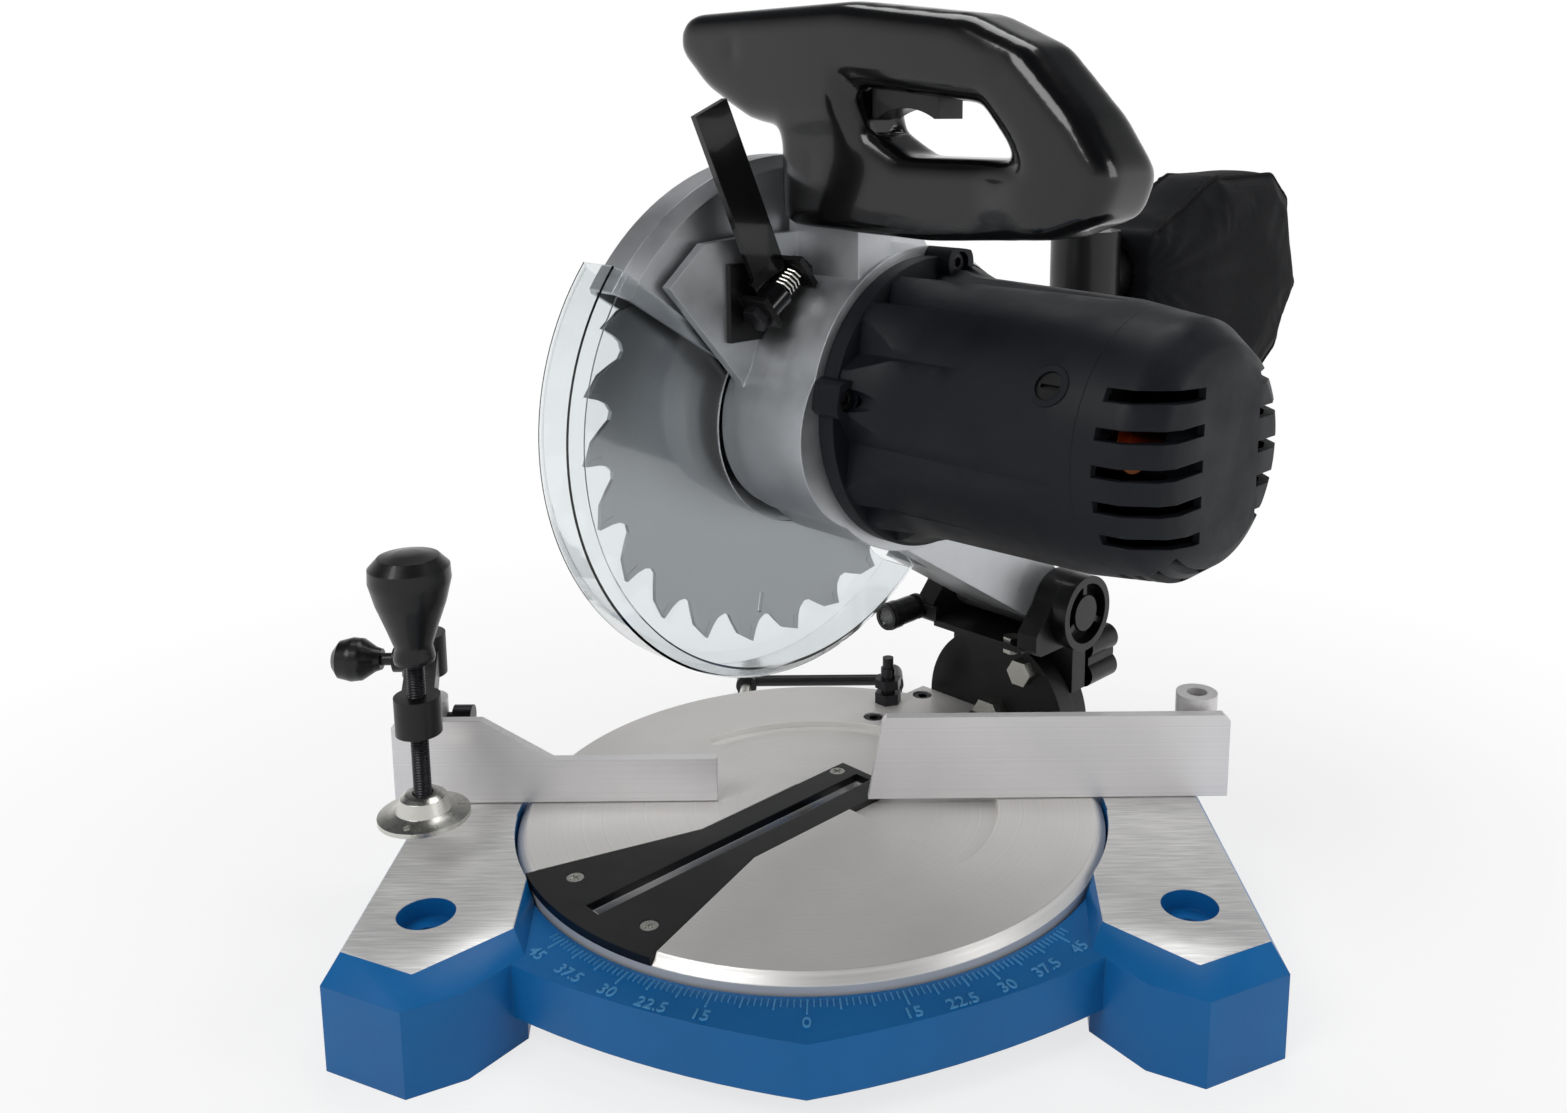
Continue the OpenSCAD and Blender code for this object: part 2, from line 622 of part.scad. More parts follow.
module tilt_bracket() color("#18181a") at_table() difference() {
    union() {
        front(mount_face + gap, mount_face + bracket_t) tilt_plate();
        side(ear_left - ear_t, ear_left) ear_outline();
        side(ear_right, ear_right + ear_t) ear_outline();
        translate([ear_left - 1, ear_front + 2, web_low]) cube([ear_right - ear_left + 2, 44,
            web_high - web_low]);
    }
    translate([0, hinge_y, hinge_z]) bar_x(barrel_r + 1, ear_left, ear_right);
    translate([0, hinge_y, hinge_z]) bar_x(hinge_d / 2 + run, -100, 100);
    translate([stop_lug_x, stop_lug_y, 0]) bar_z(2.5 + run, 0, 60);
    bar_y(mount_r + 0.8, 60, mount_face + gap);
}
stop_lug_x = 20;
stop_lug_y = 126;
module depth_stop_bolt() color("#2c2c2e") at_table() translate([stop_lug_x, stop_lug_y, 0]) {
    bar_z(2.5, web_low - 4, web_high + 1);
    translate([0, 0, web_high]) linear_extrude(2.1) hex(8);
    translate([0, 0, web_low - 3]) linear_extrude(3) hex(8);
}
module hinge_pin() color("silver") at_hinge() {
    bar_x(hinge_d / 2, ear_left - ear_t - 1, ear_right + ear_t + 3);
    bar_x(hinge_d / 2 + 3, ear_left - ear_t - 3, ear_left - ear_t);
}
cap_r = 20;
module hinge_cap() color("#202023") at_hinge() translate([ear_right + ear_t, 0, 0]) difference() {
    union() {
        difference() { bar_x(cap_r, 0, 9); bar_x(cap_r - 4, 2.5, 20); }
        bar_x(hinge_d / 2 + 2.5, 0, 8);
        for (a = [0, 120, 240]) rotate([a, 0, 0]) translate([0, -1.6, 0]) cube([7, 3.2, cap_r - 2]);
    }
    bar_x(hinge_d / 2 + 0.01, -cut, 3);
}
laser_x = -39;
laser_z = 57;
laser_r = 7;
module laser_body() color("#141416") at_table() translate([laser_x, 0, laser_z]) difference() {
    union() {
        bar_y(laser_r, 92, ear_front - 6);
        bar_y(laser_r - 2, ear_front - 7, ear_front - 2.2);
        bar_y(laser_r + 0.5, 94, 100);
    }
    bar_y(laser_r - 2, 80, 94);
}
module laser_lens() color("#c9d4dc") at_table() translate([laser_x, 0, laser_z]) bar_y(laser_r - 2.05,
    92.6, 94);
module laser_plate() color("#1b1b1d") at_table() difference() {
    front(ear_front - 2.2, ear_front - 0.2) union() {
        translate([laser_x, laser_z]) circle(laser_r);
        translate([ear_left - ear_t + 1, 52.5]) square([15, 7]);
    }
    translate([ear_left - 4, 0, 56]) bar_y(1.6, 100, 130);
}
module return_spring() color("gray") at_hinge() translate([spring_x, 0, 0]) rotate([0, -90, 0])
    coil(coil_on(hinge_d / 2, 0.85), 2.4, 0.85, 6);
spring_x = ear_left + 20;

// Gear case with the arm to the chop hinge; lengths along X start at the blade plane
plate_right = 20;
case_r = 66;
nose_r = 43;
bearing_r = 16;
bearing_x = hood_half + 3;
bearing_w = 9;
gear_x = 26;
gear_w = 12;
cavity_x = bearing_x + bearing_w;
arm_right = ear_right - gap;
arm_left = ear_left + 14;
hinge_dy = hinge_y - blade_y;
hinge_dz = hinge_z - blade_z;
arm_clear = guard_r + 4;
flange_t = 8;
flange_bolts = [82, 170, 288, 355];
flange_pcd = 60;
module arm_outline() polygon([[30, -58], [62, -78], [hinge_dy - 12, hinge_dz - 8], [hinge_dy + 9,
    hinge_dz + 11], [96, -36], [70, 0]]);
module gear_case() color("silver") at_spindle() difference() {
    union() {
        side(case_left, plate_right) union() {
            circle(nose_r);
            polygon([[-40, 20], [-76, 62], [-58, 78], [-30, 80], [24, 80], [60, 30], [40, -40], [-20,
                -38]]);
        }
        side(case_left, case_right) union() {
            circle(nose_r);
            translate([motor_dy, motor_dz]) circle(case_r);
        }
        bar_x(neck_r - 2, hood_out, case_left + 1);
        side(case_left, arm_right) arm_outline();
        difference() {
            side(arm_left, arm_right) arm_outline();
            bar_x(arm_clear, -60, case_left);
        }
        translate([0, hinge_dy, hinge_dz]) bar_x(barrel_r, ear_left + gap, arm_right);
        side(case_left, foot_right) translate([foot_front, 50]) square([foot_rear - foot_front,
            foot_top - 50]);
    }
    translate([0, hinge_dy, hinge_dz]) {
        bar_x(hinge_d / 2 + run, -100, 100);
        bar_x(barrel_r - 2, ear_left - 1, spring_x + 3);
    }
    bar_x(bearing_r + run, hood_out - 1, cavity_x);
    side(cavity_x, case_right + cut) union() {
        circle(gear_m * gear_z / 2 + 4);
        translate([motor_dy, motor_dz]) circle(gear_m * pinion_z / 2 + 6);
        translate([motor_dy, motor_dz]) difference() { circle(case_r - 18); circle(26); translate([-90,
            -45]) square([90, 90]); }
    }
    translate([0, motor_dy, motor_dz]) for (a = flange_bolts)
        translate([0, flange_pcd * cos(a), flange_pcd * sin(a)]) bar_x(2.5, case_right - 18,
            case_right + cut);
    for (a = hood_bolts) translate([0, hood_bolt_r * cos(a), hood_bolt_r * sin(a)]) bar_x(2.5, 0,
        cavity_x + 4);
}
foot_right = 56;
foot_front = -8;
foot_rear = 12;
foot_top = 100;
hood_bolts = [45, 135, 225, 315];
hood_bolt_r = 34;

// Fixed hood round the upper half of the blade
hood_front_angle = 147;
hood_rear_angle = -20;
hood_edge = 5;
module hood_profile(r, half, edge) polygon([[0, -half], [r - edge, -half], [r, -half + edge], [r,
    half - edge], [r - edge, half], [0, half]]);
module turned() rotate([0, 90, 0]) rotate_extrude($fn = 128) children();
module blade_hood() color("silver") at_spindle() difference() {
    union() {
        difference() {
            intersection() {
                turned() hood_profile(hood_r + hood_wall, hood_out, hood_edge);
                side(-40, 40) wedge(hood_r * 1.5, hood_rear_angle, hood_front_angle);
            }
            turned() hood_profile(hood_r, hood_half, hood_edge - 1);
            side(-hood_half, hood_half) translate([hood_r - 20, -40]) square([40, 37]);
        }
        bar_x(neck_r - 2, hood_half, hood_out);
        bar_x(hub_r + 10, -hood_out, -hood_half);
        bar_x(hub_r, -guard_out - 3, -hood_half);
    }
    bar_x(hub_r - 3, -40, 0);
    bar_x(bearing_r + run, 0, 40);
    for (a = hood_bolts) translate([0, hood_bolt_r * cos(a), hood_bolt_r * sin(a)]) bar_x(2.5 + run, 0, 40);
}
module hood_screws() color("#2a2a2c") at_spindle() for (a = hood_bolts)
    translate([hood_half, hood_bolt_r * cos(a), hood_bolt_r * sin(a)]) rotate([0, -90, 0]) cap_screw(5,
        13, 3);

// Clear lower guard, turning on the hood's hub
guard_front_angle = 143;
guard_rear_angle = 310;
module guard_sector() wedge(guard_r * 1.5, guard_front_angle, guard_rear_angle);
module lower_guard() color("lightcyan", 0.4) at_spindle() difference() {
    union() {
        intersection() {
            difference() {
                turned() hood_profile(guard_r, guard_out, 5);
                turned() hood_profile(guard_r - guard_wall, guard_in, 4);
                bar_x(guard_eye, 0, 40);
            }
            side(-40, 40) guard_sector();
        }
        bar_x(hub_r + 9, -guard_out, -guard_in);
    }
    bar_x(hub_r + run, -40, 0);
}

// Blade, flanges, spindle and gear
tooth_h = 9;
tip_t = 2.6;
blade_r = blade_d / 2;
flange_r = 20;
flange_w = 5;
module blade_outline() {
    root = blade_r - tooth_h;
    step = 360 / teeth;
    polygon([for (i = [0 : teeth - 1]) let (a = tooth_shift - i * step) each [
        blade_r * [cos(a), sin(a)],
        (blade_r - 3.5) * [cos(a - step * 0.34), sin(a - step * 0.34)],
        (root + 1) * [cos(a - step * 0.52), sin(a - step * 0.52)],
        (root - 2.5) * [cos(a - step * 0.66), sin(a - step * 0.66)],
        (root - 3) * [cos(a - step * 0.80), sin(a - step * 0.80)],
        (root - 0.5) * [cos(a - step * 0.92), sin(a - step * 0.92)],
        (root + 3) * [cos(a - step * 0.97), sin(a - step * 0.97)]]]);
}
tooth_shift = 4;
module saw_blade() color("gray") at_spindle() difference() {
    union() {
        side(-blade_t / 2, blade_t / 2) blade_outline();
        side(-tip_t / 2, tip_t / 2) for (i = [0 : teeth - 1]) rotate(i * 360 / teeth + tooth_shift)
            polygon([
            [blade_r - 7.5, -0.4], [blade_r - 0.8, -0.5], [blade_r - 1.4, -2.4], [blade_r - 7.5, -2.4]]);
    }
    bar_x(blade_bore / 2 + run, -10, 10);
    for (a = [20, 140, 260]) rotate([a, 0, 0]) side(-10, 10) translate([blade_r - 22, -1.2]) square([9,
        2.4]);
}
module blade_flanges() color("darkgray") at_spindle() difference() {
    union() {
        bar_x(flange_r, blade_t / 2, blade_t / 2 + flange_w);
        bar_x(blade_bore / 2, -blade_t / 2 - 0.5, blade_t / 2 + 0.5);
        bar_x(flange_r - 6, -blade_t / 2 - flange_w, -blade_t / 2);
    }
    bar_x(spindle_r + 0.01, -40, 40);
}
spindle_right = case_right + 5;
module spindle() color("silver") at_spindle() difference() {
    bar_x(spindle_r, -blade_t / 2 - flange_w + 1, spindle_right);
    bar_x(4, -30, 10);
}
module spindle_gear() color("dimgray") at_spindle() difference() {
    side(gear_x, gear_x + gear_w) rotate(motor_angle) rotate(180 / gear_z) gear_outline(gear_z);
    bar_x(spindle_r + 0.01, 0, 60);
}
module arbor_bolt() color("#333336") at_spindle() {
    bar_x(3.98, -10, 9);
    bar_x(10, -blade_t / 2 - flange_w - 1.6, -blade_t / 2 - flange_w);
    side(-blade_t / 2 - flange_w - 6, -blade_t / 2 - flange_w - 1.6) hex(13);
}
module spindle_bearings() color("silver") at_spindle() difference() {
    union() { bar_x(bearing_r, bearing_x, bearing_x + bearing_w - 0.2); bar_x(11, case_right,
        case_right + 5); }
    bar_x(spindle_r + 0.01, 0, 100);
}

// Motor: housing, vented end cap and what turns inside
motor_seam = 172;
brush_x = 158;
brush_angle = 150;
rotor_r = 22;
stator_out = 40;
shaft_r = 5;
motor_bearing_r = 11;
rear_bearing_x = motor_end - 16;
// Outer form: a turned body with flats, tapering and closing in a rounded end
module motor_form(inset) intersection() {
    rotate([0, 90, 0]) rotate_extrude($fn = 96) polygon([[0, case_right + inset], [case_r - 4 - inset,
        case_right + inset],
        [case_r - 6 - inset, case_right + 12], [motor_r - inset, case_right + 26],
            [motor_r - 2 - inset, motor_seam - 12],
        [motor_r - 6 - inset, motor_end - 14], [motor_r - 14 - inset, motor_end - 3 - inset],
            [motor_r - 20 - inset, motor_end - inset],
        [0, motor_end - inset]]);
    side(0, 300) rotate(-8) union() {
        square([2 * (motor_r - 5 - inset), 2 * (motor_r - 14 - inset)], center = true);
        square([2 * (motor_r - 20 - inset), 2 * (motor_r - 3 - inset)], center = true);
        rotate(38) square([2 * (motor_r - 6 - inset), 2 * (motor_r - 8 - inset)], center = true);
    }
}
module flange_ears() intersection() {
    union() {
        bar_x(case_r - 4, case_right, case_right + flange_t);
        for (a = flange_bolts) translate([0, flange_pcd * cos(a), flange_pcd * sin(a)]) bar_x(8,
            case_right, case_right + flange_t + 6);
    }
    bar_x(case_r, 0, 300);
}
module motor_housing() color("#222428") at_motor() difference() {
    union() {
        difference() {
            intersection() { motor_form(0); bar_x(200, 0, motor_seam); }
            difference() { motor_form(shell); bar_x(200, 0, case_right + flange_t); }
        }
        flange_ears();
        for (s = [0, 180]) rotate([brush_angle + s, 0, 0]) translate([brush_x, 0, 0]) bar_y(8, 16,
            motor_r - 2);
    }
    bar_x(motor_bearing_r + run, 0, case_right + flange_t + cut);
    translate([0, -motor_dy, -motor_dz]) bar_x(11 + run, 0, case_right + 5);
    translate([0, -motor_dy, -motor_dz]) bar_x(spindle_r + 1, 0, case_right + 6);
    for (a = flange_bolts) translate([0, flange_pcd * cos(a), flange_pcd * sin(a)]) {
        bar_x(2.6, 0, 300);
        bar_x(4.6, case_right + flange_t, 300);
    }
    for (s = [0, 180]) rotate([brush_angle + s, 0, 0]) translate([brush_x, 0, 0]) bar_y(5.5 + run, 10, 100);
}
module motor_cap() color("#222428") at_motor() difference() {
    intersection() { motor_form(0); bar_x(200, motor_seam, 400); }
    difference() { motor_form(shell); bar_x(14, rear_bearing_x - 2, 400); }
    bar_x(motor_bearing_r + run, 0, rear_bearing_x + 7.2);
    for (i = [-2 : 2]) rotate([0, 0, 0]) translate([motor_end - 24, -motor_r - 5, i * 13 - 2.2])
        cube([60, motor_r - 12, 4.4]);
    for (i = [-2 : 2]) translate([motor_end - 24, 22, i * 13 - 2.2]) cube([60, motor_r, 4.4]);
    for (i = [0 : 3]) translate([motor_seam + 4 + i * 7, -26, -motor_r - 5]) cube([3.4, 22, 30]);
}
module motor_screws() color("#101012") at_motor() for (a = flange_bolts)
    translate([case_right + flange_t, flange_pcd * cos(a), flange_pcd * sin(a)]) rotate([0, 90, 0])
        cap_screw(5, 22, 4);
module brush_caps() color("#17171a") at_motor() for (s = [0, 180]) rotate([brush_angle + s, 0, 0])
    translate([brush_x, 0, 0])
    difference() { bar_y(5.5, motor_r - 14, motor_r - 3); translate([-4, motor_r - 5, -0.7]) cube([8,
        5, 1.4]); }
module carbon_brushes() color("#2e2e30") at_motor() for (s = [0, 180]) rotate([brush_angle + s, 0, 0])
    translate([brush_x - 3, 13.2, -4]) cube([6, motor_r - 27.4, 8]);
module stator() color("dimgray") at_motor() difference() {
    intersection() { bar_x(stator_out, 92, 140); motor_form(shell + gap); }
    bar_x(rotor_r + 1, 0, 300);
}
module motor_bearings() color("silver") at_motor() difference() {
    union() { bar_x(motor_bearing_r, case_right + 1, case_right + flange_t); bar_x(motor_bearing_r,
        rear_bearing_x, rear_bearing_x + 7); }
    bar_x(shaft_r + 0.01, 0, 400);
}
module armature() color("peru") at_motor() {
    bar_x(shaft_r, gear_x + gear_w, rear_bearing_x + 7);
    side(gear_x - 1, gear_x + gear_w + 1) rotate(motor_angle) gear_outline(pinion_z);
    bar_x(rotor_r, 94, 138);
    bar_x(13, brush_x - 10, brush_x + 8);
    difference() { bar_x(36, 76, 86); for (a = [0 : 30 : 330]) rotate([a, 0, 0]) translate([80, 12,
        -2]) cube([20, 30, 4]); }
}

// Loop handle in two shells, split on its middle plane
function from_spindle(y) = y - blade_y;
handle_plane = from_spindle(handle_y);
hz = handle_top - blade_z;
grip_round = 9;
module handle_outline() polygon([[handle_left, hz - 6], [handle_left + 6, hz], [60, hz + 1], [118, hz - 6],
    [handle_right - 38, hz - 18], [handle_right - 14, hz - 42], [handle_right, hz - 62],
        [handle_right - 6, hz - 78],
    [handle_right - 28, hz - 86], [96, hz - 90], [case_left + 1, hz - 88], [case_left + 1, hz - 48],
        [0, hz - 45],
    [-25, hz - 32], [handle_left, hz - 17]]);
module finger_hole() polygon([[62, hz - 32], [125, hz - 39], [140, hz - 58], [85, hz - 58], [66, hz - 48]]);
module handle_form() minkowski() {
    linear_extrude(grip_t - 2 * grip_round, center = true) offset(delta = -grip_round) difference() {
        handle_outline();
        finger_hole();
    }
    sphere(r = grip_round, $fn = 20);
}
module handle_half(y0) at_spindle() difference() {
    intersection() {
        translate([0, handle_plane, 0]) rotate([90, 0, 0]) handle_form();
        translate([-200, handle_plane + y0, 0]) cube([600, grip_t / 2 + 2, 300]);
    }
    trigger_pocket();
    side(case_left - 3, foot_right + gap) translate([foot_front - gap, 40])
        square([foot_rear - foot_front + 2 * gap, foot_top - 40 + gap]);
    for (p = handle_screw_at) translate([p[0], handle_plane, p[1]]) { bar_y(1.8, -30, 30); bar_y(4,
        -40, -9); }
}
trigger_x = [66, 100];
trigger_t = 14;
trigger_low = hz - 44;
handle_screw_at = [[-4, hz - 16], [136, hz - 24], [handle_right - 14, hz - 66], [38, hz - 62]];
module trigger_pocket() translate([trigger_x[0] - gap, handle_plane - trigger_t / 2 - gap, hz - 40])
    cube([trigger_x[1] - trigger_x[0] + 2 * gap, trigger_t + 2 * gap, 24]);
module handle_front() color("#131315") handle_half(-grip_t / 2 - 2);
module handle_rear() color("#131315") handle_half(0);
module handle_screws() color("#0e0e10") at_spindle() for (p = handle_screw_at) translate([p[0],
    handle_plane - 9, p[1]])
    rotate([90, 0, 0]) cap_screw(3.5, 14, 3);
module trigger() color("#26262a") at_spindle() difference() {
    translate([trigger_x[0], handle_plane - trigger_t / 2, trigger_low])
        cube([trigger_x[1] - trigger_x[0], trigger_t, 20]);
    translate([(trigger_x[0] + trigger_x[1]) / 2, handle_plane, trigger_low - 26]) bar_y(30, -20, 20);
}

// Guard release: bracket, bolt, spring and lever beside the hood
lever_at = [30, -27.4, 57.2];
lever_rise = 37;
lever_lean = -13;
lever_t = 3;
module lever_frame() translate(lever_at) rotate([lever_rise, 0, 0]) children();
module lever_bracket() color("#151517") at_spindle() difference() {
    union() {
        translate([plate_right, lever_at[1] - 20, lever_at[2] - 20]) cube([2.5, 36, 32]);
        lever_frame() for (y = [-14, 10.6]) translate([plate_right - lever_at[0] + 0.5, y, -6])
            cube([17.5, 2.5, 14]);
    }
    lever_frame() bar_y(3 + run, -60, 60);
    translate([0, motor_dy, motor_dz]) bar_x(case_r + gap, 0, 100);
}
module lever_bolt() color("silver") at_spindle() lever_frame() {
    bar_y(3, -16, 15);
    front(-18, -14.1) hex(10);
    front(13.2, 16.4) hex(10);
}
module lever_spring() color("darkgray") at_spindle() lever_frame() translate([0, 0.2, 0]) rotate([-90,
    0, 0]) coil(coil_on(3, 0.6), 1.9, 0.6, 5);
module release_lever() color("#121214") at_spindle() lever_frame() difference() {
    union() {
        bar_y(6.3, -11.2, -0.8);
        translate([-4, 0, 0]) rotate([lever_lean, 0, 0]) translate([0, -9, 7]) cube([lever_t, 17, 74]);
        translate([-4, -9, 2]) cube([lever_t, 8, 10]);
    }
    bar_y(3 + run, -20, 20);
    bar_y(5.4, -0.8, 20);
}

// Dust chute behind the hood, its spigot, and the cloth bag
port_x = 28;
port_y = 190;
port_z = 45;
port_r = 18;
duct_r = 13;
duct_z = -3;
neck_r_out = 15;
neck_len = 32;
bag_x = 38;
module dust_port() color("#2b2d30") at_spindle() difference() {
    union() {
        side(-hood_half + 0.4, hood_half - 0.4) chute_outline();
        translate([0, port_y, duct_z]) bar_x(duct_r, -hood_half + 0.4, port_x);
        translate([port_x, port_y, 0]) bar_z(port_r, duct_z - duct_r, port_z + port_r + 6);
        translate([port_x, 0, port_z]) bar_y(neck_r_out, port_y, port_y + neck_len);
    }
    side(-hood_half + 2.4, hood_half - 2.4) chute_bore();
    translate([0, port_y, duct_z]) bar_x(duct_r - 2, -hood_half + 2.4, port_x);
    translate([port_x, port_y, 0]) bar_z(port_r - 2.5, duct_z - duct_r + 2.5, port_z + port_r + 3.5);
    translate([port_x, 0, port_z]) bar_y(neck_r_out - 2, port_y, port_y + 100);
}
module chute_outline() polygon([[hood_r - 2, -37], [hood_r + 20, -37], [port_y, duct_z - duct_r + 0.5],
    [port_y, duct_z + duct_r - 0.5], [hood_r + 14, -4], [hood_r - 2, -4]]);
module chute_bore() polygon([[hood_r - 6, -35], [hood_r + 20, -35], [port_y, duct_z - duct_r + 3],
    [port_y, duct_z + duct_r - 3], [hood_r + 14, -6], [hood_r - 6, -6]]);
bag_t = 46;
module bag_outline() polygon([[port_y + port_r + 4, 24], [port_y + port_r + 4, 66], [port_y + 84, 96],
    [port_y + 148, 96],
    [port_y + 166, 82], [port_y + 180, 30], [port_y + 160, -6], [port_y + 116, -40], [port_y + 94,
        -40], [port_y + 60, -18]]);
module dust_bag() color("#1d1d1f") at_spindle() difference() {
    hull() {
        side(bag_x - bag_t / 2, bag_x + bag_t / 2) offset(delta = -12) bag_outline();
        side(bag_x - 16, bag_x + 16) bag_outline();
    }
    translate([port_x, 0, port_z]) bar_y(neck_r_out + gap, port_y, port_y + neck_len + 6);
}

base_casting();
fence_left();
fence_right();
fence_screws();
pivot_bolt();
pivot_nut();
stay_rods();
stay_bar();
post_lock_screw();
clamp_post();
clamp_arm();
arm_lock_knob();
clamp_screw();
clamp_knob();
clamp_pad();
turntable();
kerf_insert();
insert_screws();
mount_screws();
stop_bolts();
tilt_mount();
bevel_bolt();
lock_stud();
bevel_knob();
tilt_bracket();
hinge_pin();
hinge_cap();
return_spring();
laser_body();
laser_lens();
laser_plate();
depth_stop_bolt();
gear_case();
blade_hood();
hood_screws();
motor_housing();
motor_cap();
motor_screws();
brush_caps();
carbon_brushes();
stator();
motor_bearings();
spindle_bearings();
handle_front();
handle_rear();
handle_screws();
trigger();
lever_bracket();
lever_bolt();
lever_spring();
release_lever();
dust_port();
dust_bag();
saw_blade();
blade_flanges();
spindle();
spindle_gear();
arbor_bolt();
armature();
lower_guard();
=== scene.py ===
"""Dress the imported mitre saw: edges and finishes for its castings, mouldings and steel, a sewn dust bag,
the raised mitre scale and the threaded clamp screw, on a pale studio floor."""

from __future__ import annotations

import json
import logging
import math
from dataclasses import dataclass, field
from enum import Enum
from typing import Any, Sequence

import bmesh
import bpy
import numpy as np
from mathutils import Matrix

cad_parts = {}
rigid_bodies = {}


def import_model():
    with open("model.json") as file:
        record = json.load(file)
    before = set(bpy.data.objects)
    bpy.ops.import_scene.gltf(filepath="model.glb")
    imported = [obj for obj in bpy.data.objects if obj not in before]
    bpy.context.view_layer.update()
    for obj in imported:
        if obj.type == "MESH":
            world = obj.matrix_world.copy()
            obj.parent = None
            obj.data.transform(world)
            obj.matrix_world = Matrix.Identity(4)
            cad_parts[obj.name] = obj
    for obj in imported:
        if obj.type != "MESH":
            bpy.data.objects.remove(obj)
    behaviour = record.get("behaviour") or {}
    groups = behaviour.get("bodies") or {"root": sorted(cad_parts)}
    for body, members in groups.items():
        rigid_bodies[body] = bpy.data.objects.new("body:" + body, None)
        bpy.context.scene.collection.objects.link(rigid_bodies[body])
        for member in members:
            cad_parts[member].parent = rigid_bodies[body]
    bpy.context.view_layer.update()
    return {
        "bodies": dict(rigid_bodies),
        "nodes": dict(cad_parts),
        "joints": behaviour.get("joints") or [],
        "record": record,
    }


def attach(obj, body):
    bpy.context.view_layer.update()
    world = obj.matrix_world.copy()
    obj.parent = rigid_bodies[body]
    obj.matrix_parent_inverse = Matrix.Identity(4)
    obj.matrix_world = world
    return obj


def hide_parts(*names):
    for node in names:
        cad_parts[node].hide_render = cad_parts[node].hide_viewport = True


LOG = logging.getLogger("mitre_saw")
MM = 0.001
# How near points are joined, and the angles from which edges of new pieces and of the solids stay sharp
WELD = 1e-6
GRID_SHARP_DEG = 40.0
SOLID_SHARP_DEG = 32.0

Material = bpy.types.Material
Mesh = bpy.types.Mesh
Node = bpy.types.Node
Socket = bpy.types.NodeSocket
Thing = bpy.types.Object
Pair = tuple[float, float]
Triple = tuple[float, float, float]
Inputs = dict[Any, Any]

# The mitre axis at the table's top, the table's turn to the left, and the spindle's place on the table,
# as the CAD model has them
MITRE_AXIS = np.array([0.0, 0.026, 0.045])
TABLE_TURN = math.radians(-45.0)
TABLE_AXES = np.array([
    [math.cos(TABLE_TURN), -math.sin(TABLE_TURN), 0.0],
    [math.sin(TABLE_TURN), math.cos(TABLE_TURN), 0.0],
    [0.0, 0.0, 1.0]])
SPINDLE = np.array([0.0, -0.0185, 0.1953])


def to_row(points: np.ndarray) -> np.ndarray:
    """Turn places on the table into the row frame: turn about the mitre axis, then move to it.

    Args:
        points: Places in the table's frame, in metres, as an (n, 3) array.

    Returns:
        The same places in the row frame.
    """
    return points @ TABLE_AXES.T + MITRE_AXIS


def from_row(points: np.ndarray) -> np.ndarray:
    """Turn places in the row frame back into the table's frame.

    Args:
        points: Places in the row frame, in metres.

    Returns:
        The same places from the mitre axis, along and across the turned table.
    """
    return (points - MITRE_AXIS) @ TABLE_AXES


def smooth_step(share: np.ndarray) -> np.ndarray:
    """Ease shares, so that they start and end level.

    Args:
        share: Shares, which are held between nought and one.

    Returns:
        Three times their square less twice their cube.
    """
    held = np.clip(share, 0, 1)
    return held**2 * (3 - 2 * held)


def linear(colour: str, share: float = 1.0) -> tuple[float, float, float, float]:
    """Turn an sRGB hex colour, or a shade of it, into linear red, green, blue and alpha.

    Args:
        colour: Six hex digits after a hash sign.
        share: The shade, as a share of the linear colour.

    Returns:
        Linear components for a shader socket.
    """
    parts = [int(colour[i : i + 2], 16) / 255.0 for i in (1, 3, 5)]
    low = [p / 12.92 if p <= 0.04045 else ((p + 0.055) / 1.055) ** 2.4 for p in parts]
    red, green, blue = (min(1.0, share * part) for part in low)
    return (red, green, blue, 1.0)


